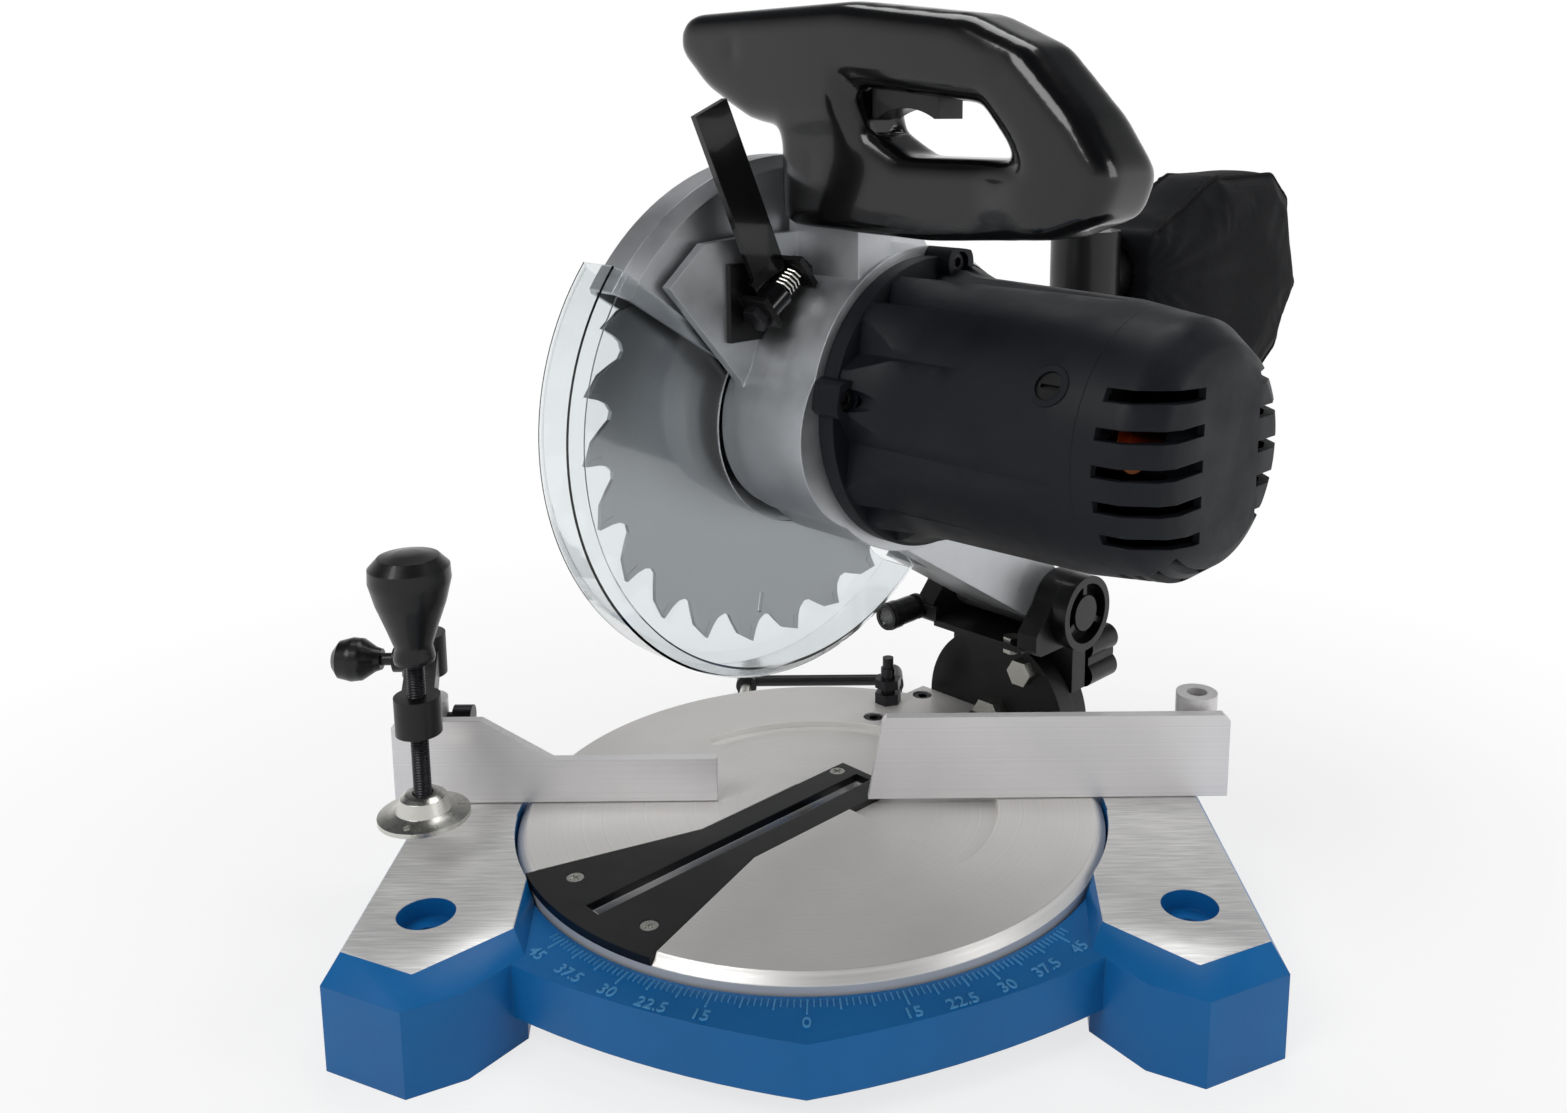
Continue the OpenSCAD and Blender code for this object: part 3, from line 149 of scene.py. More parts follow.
@dataclass(frozen=True)
class Nodes:
    """A node tree and the node at its end, which the patterns drive."""

    tree: bpy.types.NodeTree
    end: Node

    def fill(self, node: Node, inputs: Inputs) -> None:
        """Fill inputs of a node.

        Args:
            node: The node.
            inputs: Input names or numbers, each with a value or an output socket.
        """
        for name, value in inputs.items():
            if isinstance(value, Socket):
                self.tree.links.new(value, node.inputs[name])
            else:
                node.inputs[name].default_value = value

    def drive(self, inputs: Inputs) -> None:
        """Fill inputs of the node at the end."""
        self.fill(self.end, inputs)

    def add(self, kind: str, inputs: Inputs, out: str | int = 0, **settings: Any) -> Socket:
        """Add one node with its settings.

        Args:
            kind: The node's type name, without its prefix.
            inputs: Input names or numbers, each with a value or an output socket.
            out: The output that is wanted.
            **settings: Attributes of the node.

        Returns:
            The output's socket.
        """
        made = self.tree.nodes.new(f"ShaderNode{kind}")
        for name, value in settings.items():
            setattr(made, name, value)
        self.fill(made, inputs)
        return made.outputs[out]

    def maths(self, operation: str, *values: Socket | float) -> Socket:
        """Reckon with sockets and numbers."""
        return self.add("Math", dict(enumerate(values)), operation=operation)

    def ramp(self, source: Socket, *stops: tuple[float, str]) -> Socket:
        """Turn a pattern into colours.

        Args:
            source: The pattern.
            *stops: Two positions from 0 to 1, each with a hex colour.

        Returns:
            The colour.
        """
        shade = self.add("ValToRGB", {"Fac": source}, "Color")
        for element, (place, colour) in zip(shade.node.color_ramp.elements, stops):
            element.position = place
            element.color = linear(colour)
        return shade

    def mix(self, share: Socket, first: Any, second: Any) -> Socket:
        """Mix two colours, each a value or a socket, by a share."""
        return self.add("Mix", {0: share, 6: first, 7: second}, 2, data_type="RGBA")

    def tint(self, share: Socket, colour: str, low: float, high: float) -> Socket:
        """Mix two shades of a hex colour, each a share of it, by a pattern."""
        return self.mix(share, linear(colour, low), linear(colour, high))

    def noise(self, place: Socket, size_mm: float, detail: float, roughness: float = 0.5) -> Socket:
        """Add a noise of a real size.

        Args:
            place: Coordinates in metres.
            size_mm: The noise's spacing.
            detail: How many finer layers it has.
            roughness: How strong the finer layers are.

        Returns:
            The noise, from about nought to one.
        """
        return self.add("TexNoise", {
            "Vector": place, "Scale": 1 / (size_mm * MM), "Detail": detail, "Roughness": roughness}, "Fac")

    def spread(self, source: Socket, middle: float, less: float, more: float) -> Socket:
        """Let a noise vary a value.

        Args:
            source: The noise, which is mostly between 0.3 and 0.7.
            middle: The value's middle.
            less: How far it falls where the noise is low.
            more: How far it rises where the noise is high.

        Returns:
            The value.
        """
        return self.add("MapRange", {
            "Value": source, "From Min": 0.3, "From Max": 0.7,
            "To Min": middle - less, "To Max": middle + more})

    def raised(self, height: Socket, strength: float, deep_mm: float, edge_mm: float = 0.0) -> Socket:
        """Raise a pattern on the surface.

        Args:
            height: The pattern.
            strength: How much of it shows.
            deep_mm: Its depth.
            edge_mm: The radius by which edges look broken, as tumbling, blasting or a mould leaves them.

        Returns:
            The normal.
        """
        inputs: Inputs = {"Height": height, "Strength": strength, "Distance": deep_mm * MM}
        if edge_mm:
            inputs["Normal"] = self.add("Bevel", {"Radius": edge_mm * MM}, samples=4)
        return self.add("Bump", inputs)

    def sight(self) -> Socket:
        """Give one for a ray from the camera, off a gloss or through a clear piece, and else nought."""
        path = self.add("LightPath", {}).node.outputs
        either = self.maths("MAXIMUM", path["Is Camera Ray"], path["Is Glossy Ray"])
        return self.maths("MAXIMUM", either, path["Is Transmission Ray"])


@dataclass(frozen=True)
class Finish:
    """What every finish has: a name, a colour and how rough and how metallic it is."""

    name: str
    slot: str
    colour: str
    roughness: float = 0.5
    metallic: float = 0.0
    edge_mm: float = 0.6

    def patterns(self, nodes: Nodes, place: Socket) -> Inputs:
        """Make the patterns that drive the shader.

        Args:
            nodes: The material's nodes.
            place: Object coordinates.

        Returns:
            Inputs of the shader, each with a value or a socket.
        """
        return {}

    def build(self) -> Material:
        """Make the material: a principled shader, driven by the finish's patterns."""
        material = bpy.data.materials.new(self.name)
        material.use_nodes = True
        nodes = Nodes(material.node_tree, material.node_tree.nodes["Principled BSDF"])
        nodes.drive({
            "Base Color": linear(self.colour), "Metallic": self.metallic, "Roughness": self.roughness})
        nodes.drive(self.patterns(nodes, nodes.add("TexCoord", {}, "Object")))
        return material


@dataclass(frozen=True)
class MouldedPlastic(Finish):
    """ABS or nylon moulding: a spark-eroded grain breaks up the gloss, and handling marks vary it."""

    grain_mm: float = 0.7
    grain_depth: float = 0.12
    coat: float = 0.0
    smudge: float = 0.08
    smudge_mm: float = 18.0
    shine: float = 0.3

    def patterns(self, nodes: Nodes, place: Socket) -> Inputs:
        """Make a moulded plastic with a grain, faint smudges and an optional polish."""
        smudges = nodes.noise(place, self.smudge_mm, detail=4.0)
        grain = nodes.noise(place, self.grain_mm, detail=2.0)
        return {
            "Base Color": nodes.tint(smudges, self.colour, low=1.0, high=1.35),
            "Roughness": nodes.spread(smudges, self.roughness, self.smudge, self.smudge),
            "Normal": nodes.raised(grain, self.grain_depth, deep_mm=0.3, edge_mm=self.edge_mm),
            "Specular IOR Level": self.shine, "Coat Weight": self.coat, "Coat Roughness": 0.06}


@dataclass(frozen=True)
class CastMetal(Finish):
    """Die-cast aluminium, blasted: a fine grit gives it a soft, grey, even shine."""

    grit_mm: float = 0.6
    grit_depth: float = 0.25
    flow_mm: float = 22.0

    def patterns(self, nodes: Nodes, place: Socket) -> Inputs:
        """Make a blasted casting with flow marks and a grit."""
        flow = nodes.noise(place, self.flow_mm, detail=5.0, roughness=0.6)
        grit = nodes.noise(place, self.grit_mm, detail=3.0)
        return {
            "Base Color": nodes.tint(flow, self.colour, low=0.8, high=1.12),
            "Roughness": nodes.spread(flow, self.roughness, less=0.07, more=0.07),
            "Normal": nodes.raised(grit, self.grit_depth, deep_mm=0.3, edge_mm=self.edge_mm)}


class Lay(Enum):
    """Which way the tool marks of a machined face run."""

    ROUND_MITRE = "rings about the mitre axis"
    ROUND_SPINDLE = "rings about the spindle"
    LONG_X = "lines along the fence"


@dataclass(frozen=True)
class MachinedMetal(Finish):
    """Turned, milled or ground metal: fine tool marks draw the highlight out across them."""

    lay: Lay = Lay.LONG_X
    mark_mm: float = 0.8
    mark_depth: float = 0.12
    contrast: float = 1.0
    stain_mm: float = 40.0
    stain_floor: float = 0.2

    def across(self, nodes: Nodes, place: Socket) -> Socket:
        """Find the length across the tool marks.

        Args:
            nodes: The material's nodes.
            place: Object coordinates.

        Returns:
            A socket with the distance from the axis, or the height, in metres.
        """
        if self.lay is Lay.LONG_X:
            return nodes.add("SeparateXYZ", {0: place}, "Z")
        upright = self.lay is Lay.ROUND_MITRE
        centre = MITRE_AXIS if upright else to_row(SPINDLE[None])[0]
        kept = (1.0, 1.0, 0.0) if upright else (0.0, 1.0, 1.0)
        moved = nodes.add("VectorMath", {0: place, 1: tuple(centre)}, operation="SUBTRACT")
        turned = nodes.add("Mapping", {"Vector": moved, "Rotation": (0.0, 0.0, -TABLE_TURN)})
        flat = nodes.add("VectorMath", {0: turned, 1: kept}, operation="MULTIPLY")
        return nodes.add("VectorMath", {0: flat}, "Value", operation="LENGTH")

    def patterns(self, nodes: Nodes, place: Socket) -> Inputs:
        """Make a machined metal with tool marks and a faint stain."""
        lines = nodes.add("TexNoise", {
            "W": self.across(nodes, place), "Scale": 1 / (self.mark_mm * MM), "Detail": 3.0}, "Fac",
            noise_dimensions="1D")
        stain = nodes.noise(place, self.stain_mm, detail=4.0)
        mixed = nodes.maths("MULTIPLY_ADD", lines, stain, self.stain_floor)
        return {
            "Base Color": nodes.tint(
                mixed, self.colour, low=1 - 0.18 * self.contrast, high=1 + 0.14 * self.contrast),
            "Roughness": nodes.spread(
                lines, self.roughness, less=0.06 * self.contrast, more=0.08 * self.contrast),
            "Normal": nodes.raised(lines, self.mark_depth, deep_mm=0.2, edge_mm=self.edge_mm)}


@dataclass(frozen=True)
class EnamelledCasting(Finish):
    """Stove enamel on a casting: an orange-peel gloss, with bare milled metal on top of the wings."""

    peel_mm: float = 2.4
    patch_mm: float = 35.0
    shine: float = 0.25
    bare_low: str = "#cbcbca"
    bare_high: str = "#e9e8e6"
    bare_metallic: float = 0.45
    bare_height: float = 0.0446
    # How many milling streaks there are in a metre along, across and up
    streaks: Triple = (60.0, 900.0, 60.0)

    def patterns(self, nodes: Nodes, place: Socket) -> Inputs:
        """Make the enamel, and switch to milled metal above the wings' edge."""
        bare = nodes.maths("GREATER_THAN", nodes.add("SeparateXYZ", {0: place}, "Z"), self.bare_height)
        patch = nodes.noise(place, self.patch_mm, detail=4.0)
        peel = nodes.noise(place, self.peel_mm, detail=2.0)
        drawn = nodes.add("Mapping", {"Vector": place, "Scale": self.streaks})
        milled = nodes.add("TexNoise", {"Vector": drawn, "Scale": 1.0, "Detail": 2.0}, "Fac")
        metal = nodes.ramp(milled, (0.3, self.bare_low), (0.7, self.bare_high))
        return {
            "Base Color": nodes.mix(bare, nodes.tint(patch, self.colour, low=0.86, high=1.14), metal),
            "Metallic": nodes.maths("MULTIPLY", bare, self.bare_metallic),
            "Roughness": nodes.spread(patch, self.roughness, less=0.05, more=0.05),
            "Normal": nodes.raised(peel, strength=0.12, deep_mm=0.4, edge_mm=self.edge_mm),
            "Specular IOR Level": self.shine}


@dataclass(frozen=True)
class ClearMoulding(Finish):
    """Clear polycarbonate: it bends what is behind it, and its cut edges catch a pale, cool light."""

    ior: float = 1.49
    ripple_mm: float = 30.0

    def patterns(self, nodes: Nodes, place: Socket) -> Inputs:
        """Make a clear moulding with faint flow ripples."""
        ripple = nodes.noise(place, self.ripple_mm, detail=1.0)
        return {
            "Transmission Weight": 1.0, "IOR": self.ior,
            "Normal": nodes.raised(ripple, strength=0.05, deep_mm=0.5)}


@dataclass(frozen=True)
class WovenCloth(Finish):
    """Plain-woven polyester: two sets of threads cross, and a soft sheen follows the folds."""

    # Real threads are about 0.5 mm apart; they are drawn 1.2 mm apart so that the weave shows in the render
    thread_mm: float = 1.2
    slub_mm: float = 9.0

    def patterns(self, nodes: Nodes, place: Socket) -> Inputs:
        """Make a woven cloth from two wave patterns on the piece's own map."""
        woven = nodes.add("UVMap", {}, uv_map="cloth")
        scale = 1.0 / (self.thread_mm * MM * 2 * math.pi)
        threads = [nodes.add("TexWave", {
            "Vector": woven, "Scale": scale, "Distortion": 0.4, "Detail": 1.0}, "Fac", bands_direction=axis)
            for axis in ("X", "Y")]
        slub = nodes.noise(woven, self.slub_mm, detail=4.0)
        return {
            "Base Color": nodes.tint(slub, self.colour, low=0.7, high=1.6),
            "Normal": nodes.raised(nodes.maths("MAXIMUM", *threads), strength=0.35, deep_mm=0.25),
            "Specular IOR Level": 0.15, "Sheen Weight": 0.06, "Sheen Roughness": 0.4}


BLUE_ENAMEL = EnamelledCasting("blue_enamel", "blue_paint", "#0f63a2", 0.36)
# The scale's lines and numbers are the apron's blue; this paler blue is a painted highlight on them, so that
# they stand out from the apron
MARKS_PAINTED_HIGHLIGHT = EnamelledCasting("enamel_painted_highlight_on_marks", "blue_paint", "#4a8fc2", 0.3, edge_mm=0.12)
MILLED_TABLE = MachinedMetal(
    "milled_aluminium", "cast_aluminium", "#e2e0dd", 0.38, 0.45, lay=Lay.ROUND_MITRE, mark_mm=1.1)
MILLED_FENCE = MachinedMetal("milled_fence", "cast_aluminium", "#e6e4e5", 0.4, 0.4, mark_mm=0.9)
BLASTED_CASE = CastMetal("blasted_die_casting", "cast_aluminium", "#c3c5c8", 0.38, 0.9)
GROUND_BLADE = MachinedMetal(
    "ground_blade_steel", "steel", "#a3a5a7", 0.3, 1.0, 0.2, lay=Lay.ROUND_SPINDLE, mark_mm=2.4,
    mark_depth=0.02, contrast=0.4)
ZINC_STEEL = CastMetal("zinc_plated_steel", "steel", "#cdccc6", 0.26, 1.0, 0.3, grit_mm=0.4, grit_depth=0.08)
DARK_STEEL = CastMetal(
    "blackened_steel", "dark_steel", "#3a3a3d", 0.36, 0.9, 0.3, grit_mm=0.4, grit_depth=0.1)
BLACK_CASTING = MouldedPlastic(
    "black_coated_casting", "black_metal", "#0c0c0d", 0.4, grain_mm=0.8, grain_depth=0.2, coat=0.1)
GLOSSY_ABS = MouldedPlastic(
    "polished_black_abs", "black_plastic", "#070708", 0.2, coat=0.35, grain_depth=0.02, smudge=0.04)
KNOB_NYLON = MouldedPlastic("black_nylon", "black_plastic", "#0b0b0c", 0.36, grain_depth=0.08, coat=0.15)
MOTOR_NYLON = MouldedPlastic(
    "blue_black_nylon", "motor_plastic", "#0f1217", 0.5, grain_mm=0.9, grain_depth=0.16, shine=0.2)
COPPER_WIRE = CastMetal("lacquered_copper", "copper", "#b4673a", 0.35, 1.0, grit_mm=0.5)
BRUSH_CARBON = CastMetal("pressed_carbon", "carbon", "#1f1f20", 0.6, 0.2)
CLEAR_GUARD = ClearMoulding("clear_polycarbonate", "clear_plastic", "#f2f5f6", 0.05)
BAG_CLOTH = WovenCloth("woven_polyester", "cloth", "#0b0c0f", 0.8)
BAG_BINDING = WovenCloth("bound_seam_tape", "cloth", "#08080a", 0.75, thread_mm=0.9)


def grid_faces(rows: int, columns: int) -> np.ndarray:
    """Give the four-cornered faces of a grid of points whose columns close into a ring.

    Args:
        rows: Points along the first parameter.
        columns: Points round the second parameter.

    Returns:
        Point numbers, four for each face.
    """
    i, j = np.meshgrid(np.arange(rows - 1), np.arange(columns), indexing="ij")
    m = (j + 1) % columns
    corners = [i * columns + j, i * columns + m, (i + 1) * columns + m, (i + 1) * columns + j]
    return np.stack(corners, -1).reshape(-1, 4)


def repeat_faces(faces: np.ndarray, points: int, times: int) -> np.ndarray:
    """Give the faces of several like forms whose points follow each other.

    Args:
        faces: The faces of the first form.
        points: How many points each form has.
        times: How many forms there are.

    Returns:
        Point numbers, four for each face.
    """
    return (faces[None] + points * np.arange(times)[:, None, None]).reshape(-1, 4)


def read_array(items: Any, name: str, width: int = 1, kind: type = float) -> np.ndarray:
    """Read one property of all of a mesh's points, corners or faces.

    Args:
        items: The mesh's points, corners or faces.
        name: The property's name.
        width: How many numbers each of them has.
        kind: The type of the numbers.

    Returns:
        An array with a row of that width for each of them.
    """
    flat = np.empty(width * len(items), kind)
    items.foreach_get(name, flat)
    return flat.reshape(-1, width)


def read_points(mesh: Mesh) -> np.ndarray:
    """Read a mesh's points as an (n, 3) array."""
    return read_array(mesh.vertices, "co", 3)


def move_points(mesh: Mesh, points: np.ndarray) -> None:
    """Move a mesh's points to new places, given in the mesh's order."""
    mesh.vertices.foreach_set("co", points.ravel())
    mesh.update()


def weld(mesh: Mesh) -> None:
    """Join points of a mesh that lie together, and turn its faces outwards."""
    edit = bmesh.new()
    edit.from_mesh(mesh)
    bmesh.ops.remove_doubles(edit, verts=edit.verts, dist=WELD)
    bmesh.ops.recalc_face_normals(edit, faces=edit.faces)
    edit.to_mesh(mesh)
    edit.free()


def shade_smooth(mesh: Mesh, sharp_deg: float | None = None) -> None:
    """Shade a mesh smooth.

    Args:
        mesh: The mesh.
        sharp_deg: The angle between faces from which an edge stays sharp, if any does.
    """
    mesh.polygons.foreach_set("use_smooth", np.ones(len(mesh.polygons), bool))
    if sharp_deg:
        mesh.set_sharp_from_angle(angle=math.radians(sharp_deg))


def place_object(name: str, data: Any) -> Thing:
    """Put a mesh, a text, a lamp or a lens into a new object of the scene, at the origin."""
    made = bpy.data.objects.new(name, data)
    bpy.context.scene.collection.objects.link(made)
    return made


def add_piece(name: str, points: np.ndarray, faces: np.ndarray, material: Material) -> Thing:
    """Put points and faces into a new object at the origin, closed, smooth and facing outwards.

    Args:
        name: The piece's name.
        points: Places in the row frame, in metres.
        faces: Point numbers of each face.
        material: The piece's finish.

    Returns:
        The new object.
    """
    mesh = bpy.data.meshes.new(name)
    mesh.from_pydata(points.reshape(-1, 3).tolist(), [], faces.tolist())
    weld(mesh)
    shade_smooth(mesh, GRID_SHARP_DEG)
    mesh.materials.append(material)
    return place_object(name, mesh)


def merged_copy(name: str, sources: Sequence[Thing], material: Material) -> Thing:
    """Copy CAD nodes into one new object with shared corners.

    Args:
        name: The new piece's name.
        sources: The CAD nodes' objects.
        material: The piece's finish.

    Returns:
        The new object, with edges sharp only where the solids' are.
    """
    edit = bmesh.new()
    for source in sources:
        edit.from_mesh(source.data)
    bmesh.ops.remove_doubles(edit, verts=edit.verts, dist=2 * WELD)
    mesh = bpy.data.meshes.new(name)
    edit.to_mesh(mesh)
    edit.free()
    if "custom_normal" in mesh.attributes:
        mesh.attributes.remove(mesh.attributes["custom_normal"])
    mesh.materials.clear()
    mesh.materials.append(material)
    mesh.polygons.foreach_set("material_index", np.zeros(len(mesh.polygons), np.int32))
    shade_smooth(mesh, SOLID_SHARP_DEG)
    return place_object(name, mesh)


def applied(piece: Thing) -> None:
    """Replace a piece's mesh by what its modifiers make of it.

    Args:
        piece: The object, whose modifiers are then gone.
    """
    graph = bpy.context.evaluated_depsgraph_get()
    graph.update()
    made = bpy.data.meshes.new_from_object(piece.evaluated_get(graph), depsgraph=graph)
    old, piece.data = piece.data, made
    piece.modifiers.clear()
    bpy.data.meshes.remove(old)


def remesh(piece: Thing, size: float) -> None:
    """Replace a piece's mesh by one skin of small, even faces.

    Args:
        piece: The object.
        size: The faces' size in metres.
    """
    skin = piece.modifiers.new("skin", "REMESH")
    skin.mode = "VOXEL"
    skin.voxel_size = size
    applied(piece)


@dataclass
class SubAssembly:
    """A group of CAD nodes with a plan, whose rows are a finish and its nodes, and pieces added to them."""

    plan = ()  # type: tuple[tuple[Any, ...], ...]
    frame: dict[str, Any]
    stock: dict[str, Material]
    made: list[Thing] = field(default_factory=list)

    def material(self, finish: Finish) -> Material:
        """Take a finish's material from the stock, and make it the first time."""
        if finish.name not in self.stock:
            self.stock[finish.name] = finish.build()
        return self.stock[finish.name]

    def settle(self, piece: Thing, body: str, finish: Finish, *nodes: str) -> None:
        """Let a piece ride on a body and stand for CAD nodes.

        Args:
            piece: The new object, in its place.
            body: The body that carries it.
            finish: The piece's finish; it is not used.
            *nodes: The CAD nodes that it stands for.
        """
        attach(piece, body)
        if nodes:
            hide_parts(*nodes)
        self.made.append(piece)

    def body_of(self, node: str) -> str:
        """Find the body that a CAD node belongs to."""
        bodies = self.frame["record"]["behaviour"]["bodies"]
        return next(body for body, members in bodies.items() if node in members)

    def dress(self, finish: Finish, *nodes: str) -> None:
        """Stand a smooth copy with a finish in for each CAD node.

        Args:
            finish: The finish of all of them.
            *nodes: The CAD nodes' names.
        """
        for node in nodes:
            copy = merged_copy(f"{node}_finished", [self.frame["nodes"][node]], self.material(finish))
            self.settle(copy, self.body_of(node), finish, node)

    def add_pieces(self) -> None:
        """Make the pieces that are more than a smooth copy, if there are any."""

    def build(self) -> list[Thing]:
        """Dress the plan's nodes, add the other pieces and give all of them back."""
        for finish, *nodes in self.plan:
            self.dress(finish, *nodes)
        self.add_pieces()
        return self.made


@dataclass
class Base(SubAssembly):
    """The enamelled base with its fence, its rear stay and the mitre scale cast into its apron."""

    plan = (
        (BLUE_ENAMEL, "base_casting"),
        (MILLED_FENCE, "fence_left", "fence_right"),
        (DARK_STEEL, "fence_screws", "pivot_bolt", "pivot_nut"),
        (ZINC_STEEL, "stay_rods"),
        (BLACK_CASTING, "stay_bar"))
    cone_radius: float = 0.140
    cone_height: float = 0.0375
    cone_slope: float = 1.0 / 46.0
    scale_inner: float = 0.1405
    relief: float = 0.0006
    sunk: float = 0.3
    sweep_deg: int = 47
    tick_gap: float = 0.0006
    tick_lengths: Triple = (0.0085, 0.0062, 0.0042)
    tick_halves: Pair = (0.00048, 0.00036)
    number_size: float = 0.0079
    number_foot: float = 0.0164
    number_middle: float = 0.014
    number_depth: float = 0.0008
    numbers: tuple[float, ...] = (0, 15, 22.5, 30, 37.5, 45)

    def on_apron(self, around: np.ndarray, outwards: np.ndarray, lift: np.ndarray) -> np.ndarray:
        """Place points on the apron's flat cone.

        A point stands at the angle `around` from straight in front of the mitre axis and at the radius
        `outwards`; its height is the cone's height at that radius plus `lift`.

        Args:
            around: Angles in radians, positive to the right.
            outwards: Radii from the mitre axis in metres.
            lift: Heights over the cone in metres.

        Returns:
            Places in the row frame.
        """
        height = self.cone_height - (outwards - self.cone_radius) * self.cone_slope + lift
        return np.stack([outwards * np.sin(around), MITRE_AXIS[1] - outwards * np.cos(around), height], -1)

    def ticks(self) -> Thing:
        """Cast the degree lines: each is a small ridge, a box with a narrower top, along a radius.

        The length of a line depends on its angle: long each 15 degrees, middling each 5, short between.
        """
        degrees = np.arange(-self.sweep_deg, self.sweep_deg + 1)
        fives, fifteens = degrees % 5 == 0, degrees % 15 == 0
        length = np.select([fifteens, fives], self.tick_lengths[:2], self.tick_lengths[2])
        half = np.where(fives, *self.tick_halves)
        side = np.array([-1, 1, 1, -1, -0.5, 0.5, 0.5, -0.5])
        along = np.array([0, 0, 1, 1, 0.05, 0.05, 0.95, 0.95])
        lift = np.repeat([-self.sunk, 1.0], 4) * self.relief
        outwards = self.scale_inner + self.tick_gap + along[None] * length[:, None]
        around = np.radians(degrees)[:, None] + side[None] * half[:, None] / outwards
        points = self.on_apron(around, outwards, np.broadcast_to(lift, around.shape))
        box = np.array([[0, 3, 2, 1], [4, 5, 6, 7], [0, 1, 5, 4], [1, 2, 6, 5], [2, 3, 7, 6], [3, 0, 4, 7]])
        faces = repeat_faces(box, len(side), len(degrees))
        return add_piece("scale_ticks", points, faces, self.material(MARKS_PAINTED_HIGHLIGHT))

    def numeral(self, degrees: float, words: str) -> Thing:
        """Cast one plain number of the scale.

        The flat letters lie in a plane first; their width then goes round the mitre axis and their height
        goes inwards along the apron.

        Args:
            degrees: Where the number stands, positive to the right.
            words: The number.

        Returns:
            The raised number.
        """
        flat = bpy.data.curves.new("scale_number", "FONT")
        flat.body = words
        flat.size = self.number_size
        flat.align_x = "CENTER"
        flat.extrude = self.number_depth
        flat.resolution_u = 3
        holder = place_object("scale_number", flat)
        bpy.context.view_layer.update()
        mesh = bpy.data.meshes.new_from_object(holder.evaluated_get(bpy.context.evaluated_depsgraph_get()))
        bpy.data.objects.remove(holder)
        drawn = read_points(mesh)
        outwards = self.scale_inner + self.number_foot - drawn[:, 1]
        around = math.radians(degrees) + drawn[:, 0] / (self.scale_inner + self.number_middle)
        move_points(mesh, self.on_apron(around, outwards, drawn[:, 2] - self.number_depth + self.relief))
        weld(mesh)
        mesh.materials.clear()
        mesh.materials.append(self.material(MARKS_PAINTED_HIGHLIGHT))
        mesh.name = f"scale_number_{'left' if degrees < 0 else 'right'}_{words.replace('.', '_')}"
        return place_object(mesh.name, mesh)

    def add_pieces(self) -> None:
        """Cast the scale's lines and numbers."""
        # The lines and numbers take the paler blue, a painted highlight
        self.settle(self.ticks(), "base", MARKS_PAINTED_HIGHLIGHT)
        for degrees in self.numbers:
            for side in (-1, 1) if degrees else (1,):
                self.settle(self.numeral(side * degrees, str(degrees)), "base", MARKS_PAINTED_HIGHLIGHT)


@dataclass
class Clamp(SubAssembly):
    """The workpiece clamp: zinc-plated post and pad, a coated arm and a threaded screw with a long knob."""

    plan = (
        (ZINC_STEEL, "clamp_post", "clamp_pad"),
        (BLACK_CASTING, "clamp_arm"),
        (KNOB_NYLON, "arm_lock_knob", "clamp_knob"),
        (DARK_STEEL, "post_lock_screw"))
    centre: Pair = (-0.172, -0.017)
    low: float = 0.0705
    top: float = 0.141
    radius: float = 0.004
    ball_radius: float = 0.0055
    ball_height: float = 0.068
    ball_end: float = 0.45
    ball_rows: int = 14
    pitch: float = 0.00125
    depth: float = 0.0007
    rows_per_pitch: int = 8
    columns: int = 32

    def screw(self) -> Thing:
        """Turn the screw as one surface of height and angle.

        The radius is the outer radius less a triangle wave of the thread's depth, whose place shifts by one
        pitch for each turn. Below, it is the circle of the ball end, and both ends run to the axis.
        """
        rise = np.linspace(self.low, self.top, int((self.top - self.low) / self.pitch * self.rows_per_pitch))
        ball = self.ball_height + self.ball_radius * np.linspace(-1.0, self.ball_end, self.ball_rows)
        turn = np.linspace(0, 2 * np.pi, self.columns, endpoint=False)
        wave = np.abs(2 * ((rise[:, None] / self.pitch - turn[None] / (2 * np.pi)) % 1.0) - 1)
        thread = self.radius - self.depth * wave
        swell = np.sqrt(np.maximum(self.ball_radius**2 - (ball - self.ball_height) ** 2, 0.0))
        radius = np.concatenate([
            np.repeat(swell[:, None], self.columns, 1), thread, np.zeros((1, self.columns))])
        height = np.concatenate([ball, rise, [self.top]])[:, None]
        points = np.stack(np.broadcast_arrays(
            self.centre[0] + radius * np.cos(turn), self.centre[1] + radius * np.sin(turn), height), -1)
        faces = grid_faces(len(height), self.columns)
        return add_piece("clamp_screw_threaded", points, faces, self.material(DARK_STEEL))

    def add_pieces(self) -> None:
        """Cut the screw's thread."""
        self.settle(self.screw(), "screw", DARK_STEEL, "clamp_screw")


class Table(SubAssembly):
    """The milled turntable with its kerf insert and the tilt mount."""

    plan = (
        (MILLED_TABLE, "turntable"),
        (KNOB_NYLON, "kerf_insert", "bevel_knob"),
        (ZINC_STEEL, "insert_screws", "lock_stud", "bevel_bolt"),
        (DARK_STEEL, "mount_screws", "stop_bolts"),
        (BLACK_CASTING, "tilt_mount"))


class Tilt(SubAssembly):
    """The tilting bracket with the chop hinge, its spring and the line laser."""

    plan = (
        (BLACK_CASTING, "tilt_bracket", "laser_plate"),
        (ZINC_STEEL, "hinge_pin", "return_spring", "depth_stop_bolt"),
        (KNOB_NYLON, "hinge_cap", "laser_body"),
        (CLEAR_GUARD, "laser_lens"))


